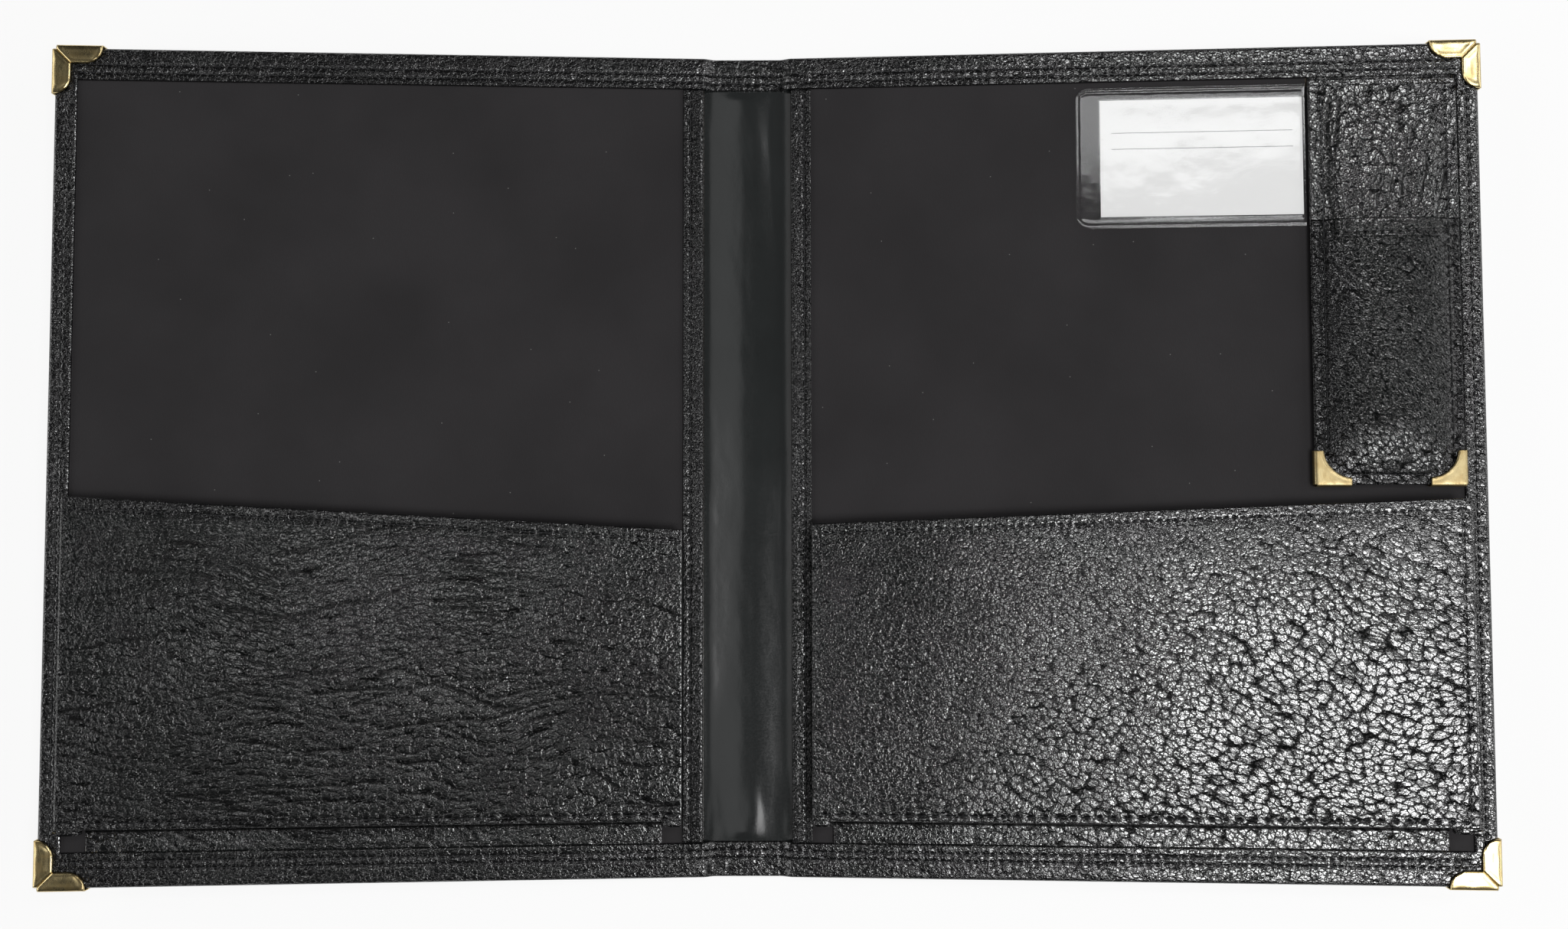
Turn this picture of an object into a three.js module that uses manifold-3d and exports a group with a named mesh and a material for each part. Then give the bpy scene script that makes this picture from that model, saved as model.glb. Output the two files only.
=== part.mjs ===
// An open music folder: two leather covers that fold on a flexible spine, each with a gusseted
// pocket, and on the right cover a clear card sleeve and a hanging pencil flap.
// Millimetres, +Z up. The origin is the middle of the spine's outer face, which lies on the table.
// +X runs to the right cover and +Y to the folder's top edge.
//
// A cover is described by three distances: u from its fold line outwards, v from the folder's
// bottom edge upwards, and n from the cover's outer face inwards.
import * as THREE from "three";
import { mergeVertices } from "three/addons/utils/BufferGeometryUtils.js";
import Module from "manifold-3d";

const wasm = await Module();
wasm.setup();

// Whole folder
const FOLDER_HEIGHT = 356;
const FOLD_SPACING = 33;
const LEFT_REACH = 279.9;
const RIGHT_REACH = 295.8;
const OPEN_TILT = 3;

// Sheets and the clearance between two layers
const LEATHER = 0.9;
const BOARD = 2.0;
const LINING = 0.4;
const LINER = 0.4;
const LAYER_GAP = 0.25;

// Fold lines: how far the supple sheets and the stiff layers keep from them
const SUPPLE_SETBACK = 0.5;
const LINER_SETBACK = 0.75;
const STIFF_SETBACK = 2.8;

// Leather turned in over the board's edges, and the strip beside the spine
const TOP_HEM = 14;
const BOTTOM_HEM = 14.8;
const OUTER_HEM = 9.5;
const SPINE_STRIP = 8.8;

// Sheet-music pockets
const POCKET_ROOM = 7.6;
const PANEL = 1.4;
const PANEL_FOOT = 26;
const PANEL_OUTER_SETBACK = 11;
const LEFT_PANEL_TOP = { inner: 149, outer: 163.6 };
const RIGHT_PANEL_TOP = { inner: 151.4, outer: 161.5 };
const GUSSET = 0.7;
const GUSSET_FOLD = 8.6;
const GUSSET_FOOT = 4;
const CORNER_NOTCH = 8.6;

// Metal corners of the covers
const BRASS = 0.4;
const BRASS_FIT = 0.15;
const CORNER_LEG = 20.2;
const CORNER_TAB = 7;
const CORNER_ROUND = 4.5;
const CORNER_SLIT = 0.5;
const CORNER_TIP = 1.2;

// Pencil flap
const FLAP_WIDTH = 61.3;
const FLAP_ABOVE_POCKET = 5.7;
const FLAP_LEATHER = 0.8;
const FLAP_BOARD = 0.8;
const FLAP_HINGE_SETBACK = 0.5;
const FLAP_END_GAP = 1.3;
const FACING_SETBACK = 2;
const POUCH_DROP = 60.5;
const POUCH_ROOM = 5.4;
const POUCH_RIM = 3;
const POUCH_SLOPE = 6;
const POUCH_BAND = 8;
const BAND_SHEET = 0.4;
const FLAP_CORNER_LEG = 14.4;
const FLAP_CORNER_END = 2.8;
const HINGE_STRIP_TUCK = 10;
const HINGE_STRIP_SHOW = 3;

// Clear sleeve and its card
const SLEEVE_WIDTH = 97.3;
const SLEEVE_HEIGHT = 61.5;
const SLEEVE_DROP = 2.4;
const SLEEVE_SHEET = 0.25;
const SLEEVE_MOUTH = 9.8;
const SLEEVE_ROUND = 6;
const WELD = 2.8;
const SIDE_WELD = 1.1;
const CARD_WIDTH = 85.5;
const CARD_HEIGHT = 50.8;
const CARD_SHEET = 0.25;
const CARD_LIFT = 2;

// Heights of the cover's layers above its outer face
const BOARD_AT = LEATHER + LAYER_GAP;
const LINING_AT = BOARD_AT + BOARD + LAYER_GAP;
const LINING_TOP = LINING_AT + LINING;
const HEM_AT = LINING_TOP + LAYER_GAP;
const HEM_TOP = HEM_AT + LEATHER;
const PANEL_AT = LINING_TOP + POCKET_ROOM;
const FOLD_HEIGHT = LEATHER / 2;

// How far a cutting solid stands out of the piece it cuts
const CUT_MARGIN = 1;

const FINISHES = {
  leather: { color: 0x121213, roughness: 0.42, metalness: 0 },
  gusset: { color: 0x161617, roughness: 0.5, metalness: 0 },
  board: { color: 0x77695a, roughness: 0.9, metalness: 0 },
  lining: { color: 0x323032, roughness: 0.95, metalness: 0 },
  vinyl: { color: 0x2c302e, roughness: 0.3, metalness: 0 },
  clear: { color: 0xe4ebec, roughness: 0.1, metalness: 0, transparent: true, opacity: 0.3 },
  card: { color: 0xf4f4f2, roughness: 0.8, metalness: 0 },
  brass: { color: 0xc7a35a, roughness: 0.25, metalness: 1 },
};

function solidOf(geometry) {
  const bare = geometry.clone();
  bare.deleteAttribute("normal");
  bare.deleteAttribute("uv");
  const merged = mergeVertices(bare, 1e-4);
  return new wasm.Manifold(
    new wasm.Mesh({
      numProp: 3,
      vertProperties: new Float32Array(merged.attributes.position.array),
      triVerts: new Uint32Array(merged.index.array),
    }),
  );
}

function geometryOf(solid) {
  const mesh = solid.getMesh();
  const geometry = new THREE.BufferGeometry();
  geometry.setAttribute("position", new THREE.BufferAttribute(new Float32Array(mesh.vertProperties), 3));
  geometry.setIndex(new THREE.BufferAttribute(new Uint32Array(mesh.triVerts), 1));
  geometry.computeVertexNormals();
  return geometry;
}

function piece(name, finish, solid) {
  const mesh = new THREE.Mesh(geometryOf(solid), new THREE.MeshStandardMaterial(FINISHES[finish]));
  mesh.name = name;
  return mesh;
}

const y = (v) => v - FOLDER_HEIGHT / 2;

// A box between two corners.
function box([x0, y0, z0], [x1, y1, z1]) {
  const geometry = new THREE.BoxGeometry(Math.abs(x1 - x0), y1 - y0, z1 - z0);
  return solidOf(geometry.translate((x0 + x1) / 2, (y0 + y1) / 2, (z0 + z1) / 2));
}

// A flat outline in X and Y raised from one height to another.
function plate(shape, z0, z1) {
  const settings = { depth: z1 - z0, bevelEnabled: false, curveSegments: 8 };
  return solidOf(new THREE.ExtrudeGeometry(shape, settings).translate(0, 0, z0));
}

// A section drawn in X and Z, run from y0 to y1.
function runAlongY(shape, y0, y1) {
  const geometry = new THREE.ExtrudeGeometry(shape, { depth: y1 - y0, bevelEnabled: false });
  return solidOf(geometry.rotateX(Math.PI / 2).translate(0, y1, 0));
}

// A section drawn in Y and Z, run from x0 to x1.
function runAlongX(shape, x0, x1) {
  const geometry = new THREE.ExtrudeGeometry(shape, { depth: x1 - x0, bevelEnabled: false });
  const turn = new THREE.Matrix4().makeBasis(
    new THREE.Vector3(0, 1, 0),
    new THREE.Vector3(0, 0, 1),
    new THREE.Vector3(1, 0, 0),
  );
  return solidOf(geometry.applyMatrix4(turn).translate(x0, 0, 0));
}

// A low block whose top face is drawn in by the slope on the two sides and at the foot.
function mound(x0, x1, y0, y1, z0, z1, slope) {
  const geometry = new THREE.BoxGeometry(x1 - x0, y1 - y0, z1 - z0);
  const points = geometry.attributes.position;
  for (let i = 0; i < points.count; i++) {
    if (points.getZ(i) < 0) continue;
    points.setX(i, points.getX(i) - Math.sign(points.getX(i)) * slope);
    if (points.getY(i) < 0) points.setY(i, points.getY(i) + slope);
  }
  return solidOf(geometry.translate((x0 + x1) / 2, (y0 + y1) / 2, (z0 + z1) / 2));
}

function outline(points) {
  return new THREE.Shape(points.map(([a, b]) => new THREE.Vector2(a, b)));
}

// The folded sheet of a gusset, as a section: a lower leaf from foot to fold, the fold, and an
// upper leaf from the fold back to the panel's edge.
function gussetSection(foot, fold, lip, lowerAt, upperTop) {
  const inward = Math.sign(foot - fold);
  return outline([
    [foot, lowerAt],
    [fold, lowerAt],
    [fold, upperTop],
    [lip, upperTop],
    [lip, upperTop - GUSSET],
    [fold + inward * GUSSET, upperTop - GUSSET],
    [fold + inward * GUSSET, lowerAt + GUSSET],
    [foot, lowerAt + GUSSET],
  ]);
}

// Cover construction. A side of 1 is the right cover and -1 the left one.
class Cover {
  constructor(name, side, reach, panelTop) {
    this.name = name;
    this.side = side;
    this.reach = reach;
    this.panelTop = panelTop;
    this.layers = new THREE.Group();
    this.layers.position.z = -FOLD_HEIGHT;
    this.group = new THREE.Group();
    this.group.position.set((side * FOLD_SPACING) / 2, 0, FOLD_HEIGHT);
    this.group.rotation.y = THREE.MathUtils.degToRad(-side * OPEN_TILT);
    this.group.add(this.layers);
  }

  add(part, finish, solid) {
    this.layers.add(piece(part, finish, solid));
  }

  slab(u0, u1, v0, v1, n0, n1) {
    return box([this.side * u0, y(v0), n0], [this.side * u1, y(v1), n1]);
  }

  plan(points) {
    return outline(points.map(([u, v]) => [this.side * u, y(v)]));
  }

  // One sheet of leather on the back, turned in over three edges of the board.
  leather() {
    const above = HEM_TOP + CUT_MARGIN;
    const wrap = this.slab(SUPPLE_SETBACK, this.reach, 0, FOLDER_HEIGHT, 0, HEM_TOP);
    const inside = this.slab(0, this.reach - LEATHER, LEATHER, FOLDER_HEIGHT - LEATHER, LEATHER, HEM_AT);
    const window = this.slab(
      0, this.reach - OUTER_HEM, BOTTOM_HEM, FOLDER_HEIGHT - TOP_HEM, LEATHER, above,
    );
    const foldRelief = this.slab(
      0, STIFF_SETBACK, -CUT_MARGIN, FOLDER_HEIGHT + CUT_MARGIN, LEATHER, above,
    );
    const sheet = wrap.subtract(inside).subtract(window).subtract(foldRelief);
    this.add(`${this.name}_cover_leather`, "leather", sheet);
  }

  board() {
    const edge = LEATHER + LAYER_GAP;
    const solid = this.slab(
      STIFF_SETBACK, this.reach - edge, edge, FOLDER_HEIGHT - edge, BOARD_AT, BOARD_AT + BOARD,
    );
    this.add(`${this.name}_cover_board`, "board", solid);
  }

  lining(cutOut) {
    const edge = LEATHER + LAYER_GAP;
    const sheet = this.slab(
      STIFF_SETBACK, this.reach - edge, edge, FOLDER_HEIGHT - edge, LINING_AT, LINING_TOP,
    );
    this.add(`${this.name}_lining`, "lining", cutOut ? sheet.subtract(cutOut) : sheet);
  }

  spineStrip() {
    const solid = this.slab(
      STIFF_SETBACK, STIFF_SETBACK + SPINE_STRIP,
      BOTTOM_HEM + LAYER_GAP, FOLDER_HEIGHT - TOP_HEM - LAYER_GAP, HEM_AT, HEM_TOP,
    );
    this.add(`${this.name}_spine_strip`, "leather", solid);
  }

  get panelInner() {
    return STIFF_SETBACK + SPINE_STRIP;
  }

  get panelOuter() {
    return this.reach - PANEL_OUTER_SETBACK;
  }

  // Height of the pocket's sloping top edge at a distance u.
  panelTopAt(u) {
    const share = (u - this.panelInner) / (this.panelOuter - this.panelInner);
    return this.panelTop.inner + share * (this.panelTop.outer - this.panelTop.inner);
  }

  panel() {
    const shape = this.plan([
      [this.panelInner, PANEL_FOOT],
      [this.panelOuter, PANEL_FOOT],
      [this.panelOuter, this.panelTop.outer],
      [this.panelInner, this.panelTop.inner],
    ]);
    this.add(`${this.name}_pocket_panel`, "leather", plate(shape, PANEL_AT, PANEL_AT + PANEL));
  }

  // Three folded strips let the pocket spread: beside the spine, along the outer hem and below.
  gussets() {
    const upperTop = PANEL_AT - LAYER_GAP;
    const s = this.side;
    const lip = LAYER_GAP;
    const outerFold = this.panelOuter - GUSSET_FOLD;
    const innerFold = this.panelInner + GUSSET_FOLD;
    const bottomFold = PANEL_FOOT + GUSSET_FOLD;
    const sideFoot = BOTTOM_HEM + CORNER_NOTCH;
    const outer = gussetSection(
      s * (this.panelOuter + GUSSET_FOOT), s * outerFold, s * (this.panelOuter - lip),
      HEM_TOP + LAYER_GAP, upperTop,
    );
    const inner = gussetSection(
      s * (this.panelInner + lip), s * innerFold, s * (this.panelInner + lip), HEM_AT, upperTop,
    );
    const bottom = gussetSection(
      y(BOTTOM_HEM + LAYER_GAP), y(bottomFold), y(PANEL_FOOT + lip), HEM_AT, upperTop,
    );
    const outerTop = this.panelTopAt(outerFold) - LAYER_GAP;
    const innerTop = this.panelTopAt(this.panelInner) - LAYER_GAP;
    this.add(`${this.name}_pocket_outer_gusset`, "gusset", runAlongY(outer, y(sideFoot), y(outerTop)));
    this.add(`${this.name}_pocket_inner_gusset`, "gusset", runAlongY(inner, y(sideFoot), y(innerTop)));
    const ends = [s * (innerFold + LAYER_GAP), s * (outerFold - LAYER_GAP)].sort((a, b) => a - b);
    this.add(`${this.name}_pocket_bottom_gusset`, "gusset", runAlongX(bottom, ends[0], ends[1]));
  }

  // A folded metal corner: a back plate, two edge walls and two front tabs that meet at a mitre slit.
  metalCorner(place, up) {
    const out = BRASS_FIT + BRASS;
    const at = (u, v) => [this.side * (this.reach + u), y(up > 0 ? FOLDER_HEIGHT + v : -v)];
    const flat = (points, n0, n1) => plate(outline(points.map(([u, v]) => at(u, v))), n0, n1);
    const slab = (u0, u1, v0, v1, n0, n1) => flat([[u0, v0], [u1, v0], [u1, v1], [u0, v1]], n0, n1);
    const back = flat(
      [[out, out], [-CORNER_LEG, out], [-CORNER_LEG, out - CORNER_TAB],
        [out - CORNER_TAB, -CORNER_LEG], [out, -CORNER_LEG]],
      -out, -BRASS_FIT,
    );
    const top = HEM_TOP + out;
    const wallU = slab(BRASS_FIT, out, -CORNER_LEG, -CORNER_TIP, -out, top);
    const wallV = slab(-CORNER_LEG, -CORNER_TIP, BRASS_FIT, out, -out, top);
    const inner = out - CORNER_TAB;
    const tab = (flip) => {
      const p = (along, across) => (flip ? at(across, along) : at(along, across));
      const shape = new THREE.Shape();
      shape.moveTo(...p(-CORNER_TIP, out));
      shape.lineTo(...p(-CORNER_LEG, out));
      shape.lineTo(...p(-CORNER_LEG, inner + CORNER_ROUND));
      shape.quadraticCurveTo(...p(-CORNER_LEG, inner), ...p(-CORNER_LEG + CORNER_ROUND, inner));
      shape.lineTo(...p(inner - CORNER_SLIT, inner));
      shape.lineTo(...p(-CORNER_TIP, -CORNER_TIP + CORNER_SLIT));
      return plate(shape, HEM_TOP + BRASS_FIT, top);
    };
    const solid = back.add(wallU).add(wallV).add(tab(false)).add(tab(true));
    this.add(`${this.name}_${place}_corner`, "brass", solid);
  }

  build(liningCutOut) {
    this.leather();
    this.board();
    this.lining(liningCutOut);
    this.spineStrip();
    this.panel();
    this.gussets();
    this.metalCorner("top", 1);
    this.metalCorner("bottom", -1);
  }
}

// Spine: a leather back turned in at its two ends over a smooth liner.
function spine() {
  const group = new THREE.Group();
  const half = FOLD_SPACING / 2 - SUPPLE_SETBACK;
  const linerHalf = FOLD_SPACING / 2 - LINER_SETBACK;
  const linerAt = LEATHER + LAYER_GAP;
  const endAt = linerAt + LINER + LAYER_GAP;
  const top = endAt + LEATHER;
  const slab = (w, v0, v1, n0, n1) => box([-w, y(v0), n0], [w, y(v1), n1]);
  const back = slab(half, 0, FOLDER_HEIGHT, 0, LEATHER);
  const fold = slab(linerHalf, 0, FOLDER_HEIGHT, LEATHER / 2, top);
  const inside = slab(half, LEATHER, FOLDER_HEIGHT - LEATHER, LEATHER, endAt);
  const window = slab(half, BOTTOM_HEM, FOLDER_HEIGHT - TOP_HEM, LEATHER, top + CUT_MARGIN);
  group.add(piece("spine_leather", "leather", back.add(fold.subtract(inside).subtract(window))));
  const edge = LEATHER + LAYER_GAP;
  const liner = slab(linerHalf, edge, FOLDER_HEIGHT - edge, linerAt, linerAt + LINER);
  group.add(piece("spine_liner", "vinyl", liner));
  return group;
}

// Pencil flap, hung from the right cover's top hem.
const FLAP_OUTER = RIGHT_REACH - OUTER_HEM - LAYER_GAP - BRASS_FIT - BRASS;
const FLAP_INNER = FLAP_OUTER - FLAP_WIDTH;
const FLAP_AXIS_V = FOLDER_HEIGHT - TOP_HEM - FLAP_HINGE_SETBACK;
const FLAP_TOP = FLAP_AXIS_V - FLAP_END_GAP;
const FLAP_FOOT = RIGHT_PANEL_TOP.outer + FLAP_ABOVE_POCKET;
const FLAP_MOUTH = FLAP_TOP - POUCH_DROP;
const FLAP_BASE_AT = HEM_AT + BRASS + LAYER_GAP;
const FLAP_BOARD_AT = FLAP_BASE_AT + FLAP_LEATHER + LAYER_GAP;
const FLAP_FLOOR = FLAP_BOARD_AT + FLAP_BOARD;

// Outline of the pouch at an inset from the flap's edges, with its two foot corners cut off
// beside the metal corners.
function pouchPlan(cover, inset, end) {
  const [u0, u1] = [FLAP_INNER + inset, FLAP_OUTER - inset];
  const foot = FLAP_FOOT + inset;
  const cut = FLAP_CORNER_LEG - POUCH_RIM - FLAP_CORNER_END;
  return cover.plan([
    [u0 + cut, foot], [u1 - cut, foot], [u1, foot + cut], [u1, end], [u0, end], [u0, foot + cut],
  ]);
}

function pencilFlap(cover) {
  const add = (name, finish, solid) => cover.add(name, finish, solid);
  const slab = (...limits) => cover.slab(...limits);
  const base = slab(FLAP_INNER, FLAP_OUTER, FLAP_FOOT, FLAP_TOP, FLAP_BASE_AT, FLAP_BASE_AT + FLAP_LEATHER);
  add("flap_back_leather", "leather", base);

  const roof = FLAP_FLOOR + POUCH_ROOM;
  const crownHeight = roof + FLAP_LEATHER - FLAP_BOARD_AT;
  const crownAtFloor = (POUCH_SLOPE * (FLAP_BOARD + FLAP_LEATHER)) / crownHeight;
  const inset = POUCH_RIM + FLAP_LEATHER / 2 + crownAtFloor + LAYER_GAP;
  const stiffener = plate(pouchPlan(cover, inset, FLAP_MOUTH - LAYER_GAP), FLAP_BOARD_AT, FLAP_FLOOR);
  add("flap_stiffener", "board", stiffener);

  const facing = slab(
    FLAP_INNER, FLAP_OUTER, FLAP_MOUTH + LAYER_GAP, FLAP_TOP - FACING_SETBACK, FLAP_BOARD_AT, FLAP_FLOOR,
  );
  add("flap_facing", "leather", facing);

  const rim = slab(
    FLAP_INNER, FLAP_OUTER, FLAP_FOOT, FLAP_MOUTH, FLAP_BOARD_AT, FLAP_BOARD_AT + FLAP_LEATHER,
  );
  const crown = (grow, z0, z1, end) => {
    const inner = POUCH_RIM + grow;
    const block = mound(
      FLAP_INNER + inner, FLAP_OUTER - inner, y(FLAP_FOOT + inner), y(end), z0, z1, POUCH_SLOPE,
    );
    return block.intersect(plate(pouchPlan(cover, inner, end), z0 - CUT_MARGIN, z1 + CUT_MARGIN));
  };
  const outer = crown(0, FLAP_BOARD_AT, roof + FLAP_LEATHER, FLAP_MOUTH);
  const hollow = crown(FLAP_LEATHER / 2, FLAP_BOARD_AT - FLAP_LEATHER, roof, FLAP_MOUTH + FLAP_LEATHER);
  add("pencil_pouch", "leather", rim.add(outer).subtract(hollow));

  const bandInset = POUCH_RIM + POUCH_SLOPE;
  const bandAt = roof + FLAP_LEATHER + LAYER_GAP;
  const band = slab(
    FLAP_INNER + bandInset, FLAP_OUTER - bandInset, FLAP_MOUTH - POUCH_BAND, FLAP_MOUTH,
    bandAt, bandAt + BAND_SHEET,
  );
  add("pouch_mouth_band", "leather", band);
  flapCorner(cover, "flap_inner_corner", FLAP_INNER, 1);
  flapCorner(cover, "flap_outer_corner", FLAP_OUTER, -1);
}

// A flat metal corner with a hollow inner curve, wrapped round the flap's back and front.
function flapCorner(cover, name, edge, inward) {
  const out = BRASS_FIT + BRASS;
  const at = (a, b) => [edge + inward * a, y(FLAP_FOOT + b)];
  const leg = FLAP_CORNER_LEG - out;
  const end = FLAP_CORNER_END;
  const shape = new THREE.Shape();
  shape.moveTo(...at(-out, -out));
  shape.lineTo(...at(leg, -out));
  shape.lineTo(...at(leg, end - out));
  shape.quadraticCurveTo(...at(end, end), ...at(end - out, leg));
  shape.lineTo(...at(-out, leg));
  const bottom = FLAP_BASE_AT - out;
  const top = FLAP_BOARD_AT + FLAP_LEATHER + out;
  const past = FLAP_CORNER_LEG + CUT_MARGIN;
  const [u0, u1] = [edge - inward * BRASS_FIT, edge + inward * past].sort((a, b) => a - b);
  const hollow = cover.slab(
    u0, u1, FLAP_FOOT - BRASS_FIT, FLAP_FOOT + past, bottom + BRASS, top - BRASS,
  );
  cover.add(name, "brass", plate(shape, bottom, top).subtract(hollow));
}

// The strip that carries the flap: it lies level with the lining and runs under the top hem.
function hingeStrip(cover, grow) {
  return cover.slab(
    FLAP_INNER - grow, FLAP_OUTER + grow,
    FLAP_AXIS_V - HINGE_STRIP_SHOW - grow, FOLDER_HEIGHT - TOP_HEM + HINGE_STRIP_TUCK + grow,
    LINING_AT - grow / 2, LINING_TOP + grow / 2,
  );
}

// Clear sleeve, open towards the spine, with a plain card in it.
function cardSleeve(cover) {
  const right = FLAP_INNER - BRASS_FIT - BRASS - LAYER_GAP;
  const left = right - SLEEVE_WIDTH;
  const top = FOLDER_HEIGHT - TOP_HEM - SLEEVE_DROP;
  const foot = top - SLEEVE_HEIGHT;
  const backTop = HEM_AT + SLEEVE_SHEET;
  const cardAt = backTop + LAYER_GAP;
  const frontAt = cardAt + CARD_SHEET + LAYER_GAP;

  const shape = new THREE.Shape();
  shape.moveTo(right, y(top));
  shape.lineTo(left + SLEEVE_ROUND, y(top));
  shape.quadraticCurveTo(left, y(top), left, y(top - SLEEVE_ROUND));
  shape.lineTo(left, y(foot + SLEEVE_ROUND));
  shape.quadraticCurveTo(left, y(foot), left + SLEEVE_ROUND, y(foot));
  shape.lineTo(right, y(foot));
  cover.add("sleeve_back", "clear", plate(shape, HEM_AT, backTop));

  const mouth = left + SLEEVE_MOUTH;
  const front = cover.slab(mouth, right, foot, top, cardAt, frontAt + SLEEVE_SHEET);
  const slot = cover.slab(
    mouth - CUT_MARGIN, right - SIDE_WELD, foot + WELD, top - WELD, cardAt - CUT_MARGIN, frontAt,
  );
  cover.add("sleeve_front", "clear", front.subtract(slot));

  const cardRight = right - SIDE_WELD - LAYER_GAP;
  const cardFoot = foot + WELD + CARD_LIFT;
  const card = cover.slab(
    cardRight - CARD_WIDTH, cardRight, cardFoot, cardFoot + CARD_HEIGHT, cardAt, cardAt + CARD_SHEET,
  );
  cover.add("name_card", "card", card);
}

const left = new Cover("left", -1, LEFT_REACH, LEFT_PANEL_TOP);
left.build();

const right = new Cover("right", 1, RIGHT_REACH, RIGHT_PANEL_TOP);
right.build(hingeStrip(right, LAYER_GAP));
right.add("flap_hinge_strip", "leather", hingeStrip(right, 0));
pencilFlap(right);
cardSleeve(right);

const folder = new THREE.Group();
folder.add(spine(), left.group, right.group);

export default folder;
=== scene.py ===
"""Visual model of an open leather music folder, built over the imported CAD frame.

Lengths in the classes are in millimetres, in each cover's own coordinates: u runs from the
fold line outwards, v up from the bottom edge and n from the outer face inwards. The meshes
are written in metres, in the frame of the CAD.
"""
from __future__ import annotations

import logging
import math
from collections.abc import Callable, Iterable, Sequence
from dataclasses import dataclass, field
from enum import Enum

import bpy
import numpy as np
from mathutils import Matrix, Vector


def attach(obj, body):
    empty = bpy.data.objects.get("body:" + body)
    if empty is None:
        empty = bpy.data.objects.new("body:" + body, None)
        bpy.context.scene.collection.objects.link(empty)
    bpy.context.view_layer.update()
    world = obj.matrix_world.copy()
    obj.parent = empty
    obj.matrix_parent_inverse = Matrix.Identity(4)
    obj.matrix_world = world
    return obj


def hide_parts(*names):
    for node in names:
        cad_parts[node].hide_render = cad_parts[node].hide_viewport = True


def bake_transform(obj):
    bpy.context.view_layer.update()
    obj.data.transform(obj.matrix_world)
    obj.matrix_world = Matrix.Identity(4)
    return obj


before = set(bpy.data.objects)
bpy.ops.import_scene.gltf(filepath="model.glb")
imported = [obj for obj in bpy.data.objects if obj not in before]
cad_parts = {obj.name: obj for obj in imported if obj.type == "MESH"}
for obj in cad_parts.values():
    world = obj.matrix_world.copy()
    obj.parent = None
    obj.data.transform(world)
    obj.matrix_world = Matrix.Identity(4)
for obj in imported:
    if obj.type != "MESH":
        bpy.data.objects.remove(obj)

LOG = logging.getLogger("music_folder")
Array = np.ndarray
Number = float | Array
Pair = tuple[float, float]
Point = tuple[float, float, float]
Relief = tuple[Array, Array]
Place = Callable[[Array, Array, Array], Array]
Material = bpy.types.Material
Piece = bpy.types.Object
Socket = bpy.types.NodeSocket

MM = 0.001

# The folder seen from above.
HEIGHT = 356.0
SPINE_HALF = 16.5
TILT = math.radians(3.0)
TOP_HEM, BOTTOM_HEM, OUTER_HEM = 14.0, 14.8, 9.5
PANEL_FOOT = 26.0
STRIP_START, STRIP_END = 2.8, 11.6

# Heights over the outer face.
FOLD_HEIGHT = 0.45
LEATHER_TOP = 0.9
LINER_TOP = 1.55
SPINE_TOP = 2.7
LINING_TOP = 3.8
GUSSET_LOW, GUSSET_HIGH = 4.4, 10.8
HEM_TOP = 4.95
PANEL_BACK, PANEL_TOP = 11.4, 12.8

# Grid steps, and the lines kept beside a rounded edge and beside a weld.
FINE_STEP, FLAP_STEP, COARSE_STEP = 0.6, 0.55, 3.6
EDGE_LINES = (0.0, 0.08, 0.25, 0.5, 0.85, 1.3, 1.8)
WELD_LINES = (0.3, 0.6, 1.0, 1.5, 2.0, 2.5, 3.0)


# ---------------------------------------------------------------- numbers


def ease(t: Number) -> Array:
    """Smoothstep of t, clipped to 0..1."""
    t = np.clip(t, 0.0, 1.0)
    return t * t * (3.0 - 2.0 * t)


def mix(low: Number, high: Number, share: Number) -> Array:
    """Straight blend from low to high."""
    return low + (high - low) * share


def dropped(inset: Number, radius: Number) -> Array:
    """How far a rounded edge lies below its face, at a distance inside the edge."""
    t = np.clip(1.0 - np.asarray(inset) / radius, 0.0, 1.0)
    return radius * (1.0 - np.sqrt(1.0 - t * t))


def bell(distance: Number, width: Number) -> Array:
    """Gaussian bump of a given half width."""
    return np.exp(-((distance / width) ** 2))


def nearest(*distances: Array) -> Array:
    """The least of several distances."""
    return np.minimum.reduce(distances)


def rims(low: float, high: float, at_low: int = 7, at_high: int = 7, at: Sequence[float] = EDGE_LINES) -> list[float]:
    """Lines kept exactly beside two edges, the first few of a list at each."""
    return [low + e for e in at[:at_low]] + [high - e for e in at[:at_high]]


def lines(start: float, stop: float, step: float, kept: Iterable[float] = ()) -> Array:
    """Grid lines from start to stop.

    Args:
        start: first line.
        stop: last line.
        step: greatest distance between two lines.
        kept: lines that have to be in the result exactly.

    Returns:
        The sorted lines, with no even line closer than a third of a step to a kept one.
    """
    exact = np.unique(np.round([start, stop, *[k for k in kept if start <= k <= stop]], 4))
    even = np.linspace(start, stop, max(2, math.ceil((stop - start) / step) + 1))
    far = np.abs(even[:, None] - exact[None, :]).min(axis=1) > step / 3.0
    return np.unique(np.concatenate([exact, np.round(even[far], 4)]))


def grid(u_lines: Array, v_lines: Array) -> tuple[Array, Array]:
    """Grid of two sets of lines, rows along u and columns along v."""
    return tuple(np.meshgrid(u_lines, v_lines, indexing="ij"))


def hashed(seed: int, i: Array, j: Array) -> Array:
    """A repeatable number from 0 to 1 for each whole pair.

    Args:
        seed: start of the noise.
        i: first whole number of each pair.
        j: second whole number of each pair.

    Returns:
        One number for each pair.
    """
    mask = np.uint64(0xFFFFFFFF)
    a = i.astype(np.int64).astype(np.uint64) * np.uint64(374761393)
    b = j.astype(np.int64).astype(np.uint64) * np.uint64(668265263)
    h = (a + b + np.uint64(seed * 144665 + 977)) & mask
    for shift, factor in ((13, 1274126177), (16, 2246822519)):
        h = ((h ^ (h >> np.uint64(shift))) * np.uint64(factor)) & mask
    return ((h ^ (h >> np.uint64(15))) & mask).astype(np.float64) / 4294967295.0


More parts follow.
